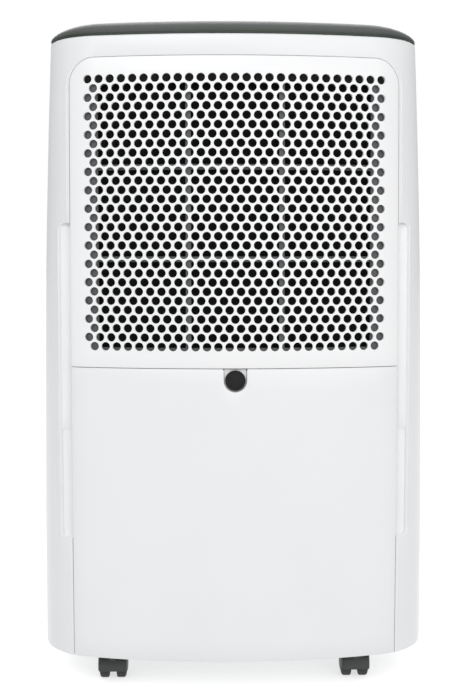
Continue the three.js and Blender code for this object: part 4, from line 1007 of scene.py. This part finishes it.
def castor(corner):
    """A hooded castor: hood, cheeks, axle, neck and stem in one piece, and its two wheels."""
    low, high = span(f"castor_hood_{corner}")
    wheels = [span(f"castor_wheel_{corner}_{letter}") for letter in "ab"]
    x = (low.x + high.x) / 2
    half = (high.x - low.x) / 2
    axle = (x, (wheels[0][0].y + wheels[0][1].y) / 2, AXLE_Z)
    stem_y = axle[1] - TRAIL
    crown = axle[1] - low.y
    bm = bmesh.new()
    bend = [
        (HOOD_CHEEK, half), (9.5, half - 0.05), (11.6, half - 0.4), (12.9, half - 1.0),
        (crown - 0.15, half - 1.8), (crown, half - 2.8),
    ]
    shell = [(HOOD_INSIDE, 0.7 - half), (HOOD_INSIDE, half - 0.7), (HOOD_CHEEK, half - 0.25)]
    shell += bend + [(radius, -across) for radius, across in reversed(bend)]
    shell += [(HOOD_CHEEK, 0.25 - half), (HOOD_INSIDE, 0.7 - half)]
    turned(bm, shell, axle, "x", 34, HOOD_SWEEP, HOOD_START)
    bmesh.ops.holes_fill(bm, edges=[e for e in bm.edges if e.is_boundary], sides=0)
    hub = [(0, 0.45), (5.4, 0.4), (6.6, 0.2), (6.9, 0)]
    for side in (-1, 1):
        turned(bm, [(r, side * (half - 0.45 + h)) for r, h in hub], axle, "x", 28)
    turned(bm, rod(3.2, -2.6, 2.6), axle, "x", 24)
    turned(bm, rod(2.3, 0.4 - half, half - 0.4), axle, "x", 16)
    soft_block(bm, x - 2.6, x + 2.6, stem_y - 5.5, axle[1] + 1, AXLE_Z + 0.5, 25.6, 0.6)
    stem = [(0, 24.2), (6.2, 24.2), (6.7, 24.7), (6.7, 27.6), (6.1, 28.4), (4, 28.6),
            (4, STEM_TOP - 1), (3.4, STEM_TOP), (0, STEM_TOP)]
    turned(bm, stem, (x, stem_y, 0), "z", 32)
    finish(
        f"hood_{corner}", bm, f"castor_{corner}", castor_nylon,
        [f"castor_hood_{corner}"],
    )
    for letter, (low, high) in zip("ab", wheels):
        outward = 1 if (low.x + high.x) / 2 > x else -1
        bm = bmesh.new()
        # Distances from the wheel's outer face, which is dished towards its tread.
        wide = high.x - low.x
        tyre = [
            (2.6, 0), (3.8, 0), (7.2, 0.35), (9.0, 0.7), (10.5, 1.1), (11.3, 1.6), (11.65, 2.2),
            (AXLE_Z, 3.0), (AXLE_Z, wide - 1.1), (11.6, wide - 0.6), (11.1, wide - 0.15),
            (10.2, wide), (2.6, wide), (2.6, 0),
        ]
        face = high.x if outward > 0 else low.x
        turned(bm, [(r, -outward * h) for r, h in tyre], (face, axle[1], AXLE_Z), "x", 48)
        finish(
            f"wheel_{corner}_{letter}", bm, f"castor_{corner}_wheel_{letter}",
            tread_grey, [f"castor_wheel_{corner}_{letter}"],
        )


# ---------------------------------------------------------------- coils


FIN_PITCH, FIN_THICK = 2.1, 0.35
TUBE_RADIUS, TUBE_ROWS = 2.5, 8


def finned_coil(name, node):
    """Thin fins on end plates, with the tubes that run through them and their return bends."""
    low, high = span(node)
    plate = high.x - 8.0
    bm = bmesh.new()
    fin = bmesh.ops.create_cube(bm, size=1)["verts"]
    bmesh.ops.scale(bm, vec=(FIN_THICK, high.y - low.y - 2, high.z - low.z - 4), verts=fin)
    count = int(2 * (plate - 2) / FIN_PITCH)
    first = (-(count - 1) / 2 * FIN_PITCH, (low.y + high.y) / 2, (low.z + high.z) / 2)
    bmesh.ops.translate(bm, vec=first, verts=fin)
    row_of(bm, everything(bm), count, (FIN_PITCH, 0, 0))
    finish(f"{name}_fins", bm, "housing", fin_metal, [node])
    bm = bmesh.new()
    for side in (-1, 1):
        edges = sorted((side * plate, side * (plate - 1.5)))
        soft_block(bm, *edges, low.y, high.y, low.z, high.z, 0.3, 1)
    finish(f"{name}_plates", bm, "housing", sheet_metal)
    bm = bmesh.new()
    rise = (high.z - low.z) / TUBE_ROWS
    for column, y in enumerate((low.y + 6.5, high.y - 6.5)):
        for i in range(TUBE_ROWS):
            z = low.z + rise * (i + 0.5)
            turned(bm, rod(TUBE_RADIUS, 0, 2 * plate + 1), (-plate - 0.5, y, z), "x", 12)
        for i in range(TUBE_ROWS - 1):
            side = 1 if (i + column) % 2 else -1
            z = low.z + rise * (i + 0.5)
            bend = [
                (side * plate, y, z), (side * (plate + 3.4), y, z + 1.5),
                (side * (plate + 5.4), y, z + rise / 2),
                (side * (plate + 3.4), y, z + rise - 1.5), (side * plate, y, z + rise),
            ]
            pipe(bm, bend, TUBE_RADIUS, 10, 5)
    finish(f"{name}_tubes", bm, "housing", copper_pipe)


# ---------------------------------------------------------------- making the pieces

rear_shell()
front_shell()
intake_panel()
tank_front()
painted_shade_strip()
lid()
lid_rim()
carry_handle()
outlet_flap()
outlet_vanes()
key_plate()
display_glass()
keys()
drain_plug()
drain_spout()
for corner_name in CORNERS:
    castor(corner_name)
finned_coil("evaporator", "evaporator_coil")
finned_coil("condenser", "condenser_coil")

# What the frame's own nodes are made of.
NODE_FINISHES = {
    tray_grey: ["base_tray", "tank_lid", "tank_handle", "tank_float", "drip_tray", "tank_switch",
                "humidity_sensor", "fan_wheel", "fan_scroll"],
    filter_grey: ["filter_frame"],
    net_black: ["filter_mesh"],
    tank_clear: ["water_tank"],
    steel_black: ["compressor_shell", "accumulator", "fan_motor", "power_inlet", "electronics_box",
                  "run_capacitor"],
    plug_rubber: ["compressor_mount_front", "compressor_mount_left", "compressor_mount_right"],
    copper_pipe: ["suction_pipe", "discharge_pipe", "filter_drier", "capillary_tube"],
    sheet_metal: ["partition_plate", "fan_deck"],
    board_green: ["power_board", "control_board"],
}
for finish_material, node_names in NODE_FINISHES.items():
    for node_name in node_names:
        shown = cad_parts[node_name]
        shown.data.materials.clear()
        shown.data.materials.append(finish_material)

# ---------------------------------------------------------------- studio


AIM = Vector((0, 0, 0.27))  # the lights point at the middle of the casing
LAMPS = (  # name, place, size and power in watts
    ("key", (-0.45, -1.75, 1.45), 1.3, 11.5),
    ("fill", (0.7, -1.75, 0.75), 1.2, 6.5),
    ("back", (0.0, 1.95, 1.3), 1.5, 13.0),
    ("overhead", (0.0, -0.1, 2.2), 2.2, 7.0),
)
DOME = 0.57


def studio():
    """A pale floor under a soft white dome, with four round lamps."""
    scene = bpy.context.scene
    scene.view_settings.view_transform = "Standard"
    bm = bmesh.new()
    bmesh.ops.create_grid(bm, x_segments=1, y_segments=1, size=12)
    mesh = bpy.data.meshes.new("floor")
    bm.to_mesh(mesh)
    bm.free()
    floor = bpy.data.objects.new("floor", mesh)
    scene.collection.objects.link(floor)
    # Painted studio board: matt and nearly white.
    material, tree, shader, place = fresh(
        "studio_floor", Roughness=0.9, Specular_IOR_Level=0.1, Emission_Color=(1, 1, 1, 1),
        Emission_Strength=0.6,
    )
    base = blend_of(tree, grain(tree, place, 400), "#fbfbfb", "#ffffff")
    tree.links.new(base, shader.inputs["Base Color"])
    mesh.materials.append(material)
    floor.visible_diffuse = False
    world = bpy.data.worlds.new("studio")
    scene.world = world
    world.use_nodes = True
    sky = world.node_tree
    # The camera sees plain white, and the object is lit by a softer dome.
    plain = add(sky, "Background", {"Color": (1, 1, 1, 1), "Strength": 1.0}).outputs["Background"]
    dome = add(sky, "Background", {"Color": (1, 1, 1, 1), "Strength": DOME}).outputs["Background"]
    seen = add(sky, "LightPath").outputs["Is Camera Ray"]
    mix = add(sky, "MixShader", {0: seen, 1: dome, 2: plain}).outputs["Shader"]
    sky.links.new(mix, sky.nodes["World Output"].inputs["Surface"])
    for name, place, size, power in LAMPS:
        light = bpy.data.lights.new(name, "AREA")
        light.shape = "DISK"
        light.size = size
        light.energy = power
        lamp = bpy.data.objects.new(name, light)
        lamp.location = place
        lamp.rotation_euler = (AIM - Vector(place)).to_track_quat("-Z", "Y").to_euler()
        scene.collection.objects.link(lamp)


def camera():
    """Behind the object, a little to its left and above its middle, and nearly level."""
    turn, drop = 0.0224, 0.0915  # radians
    eye = bpy.data.cameras.new("camera")
    eye.lens = 55.98
    eye.sensor_width = 36.0
    view = bpy.data.objects.new("camera", eye)
    view.location = (-0.0196, -0.9171, 0.3440)
    ahead = Vector((
        math.sin(turn) * math.cos(drop), math.cos(turn) * math.cos(drop), -math.sin(drop),
    ))
    view.rotation_euler = ahead.to_track_quat("-Z", "Y").to_euler()
    bpy.context.scene.collection.objects.link(view)
    bpy.context.scene.camera = view


studio()
camera()
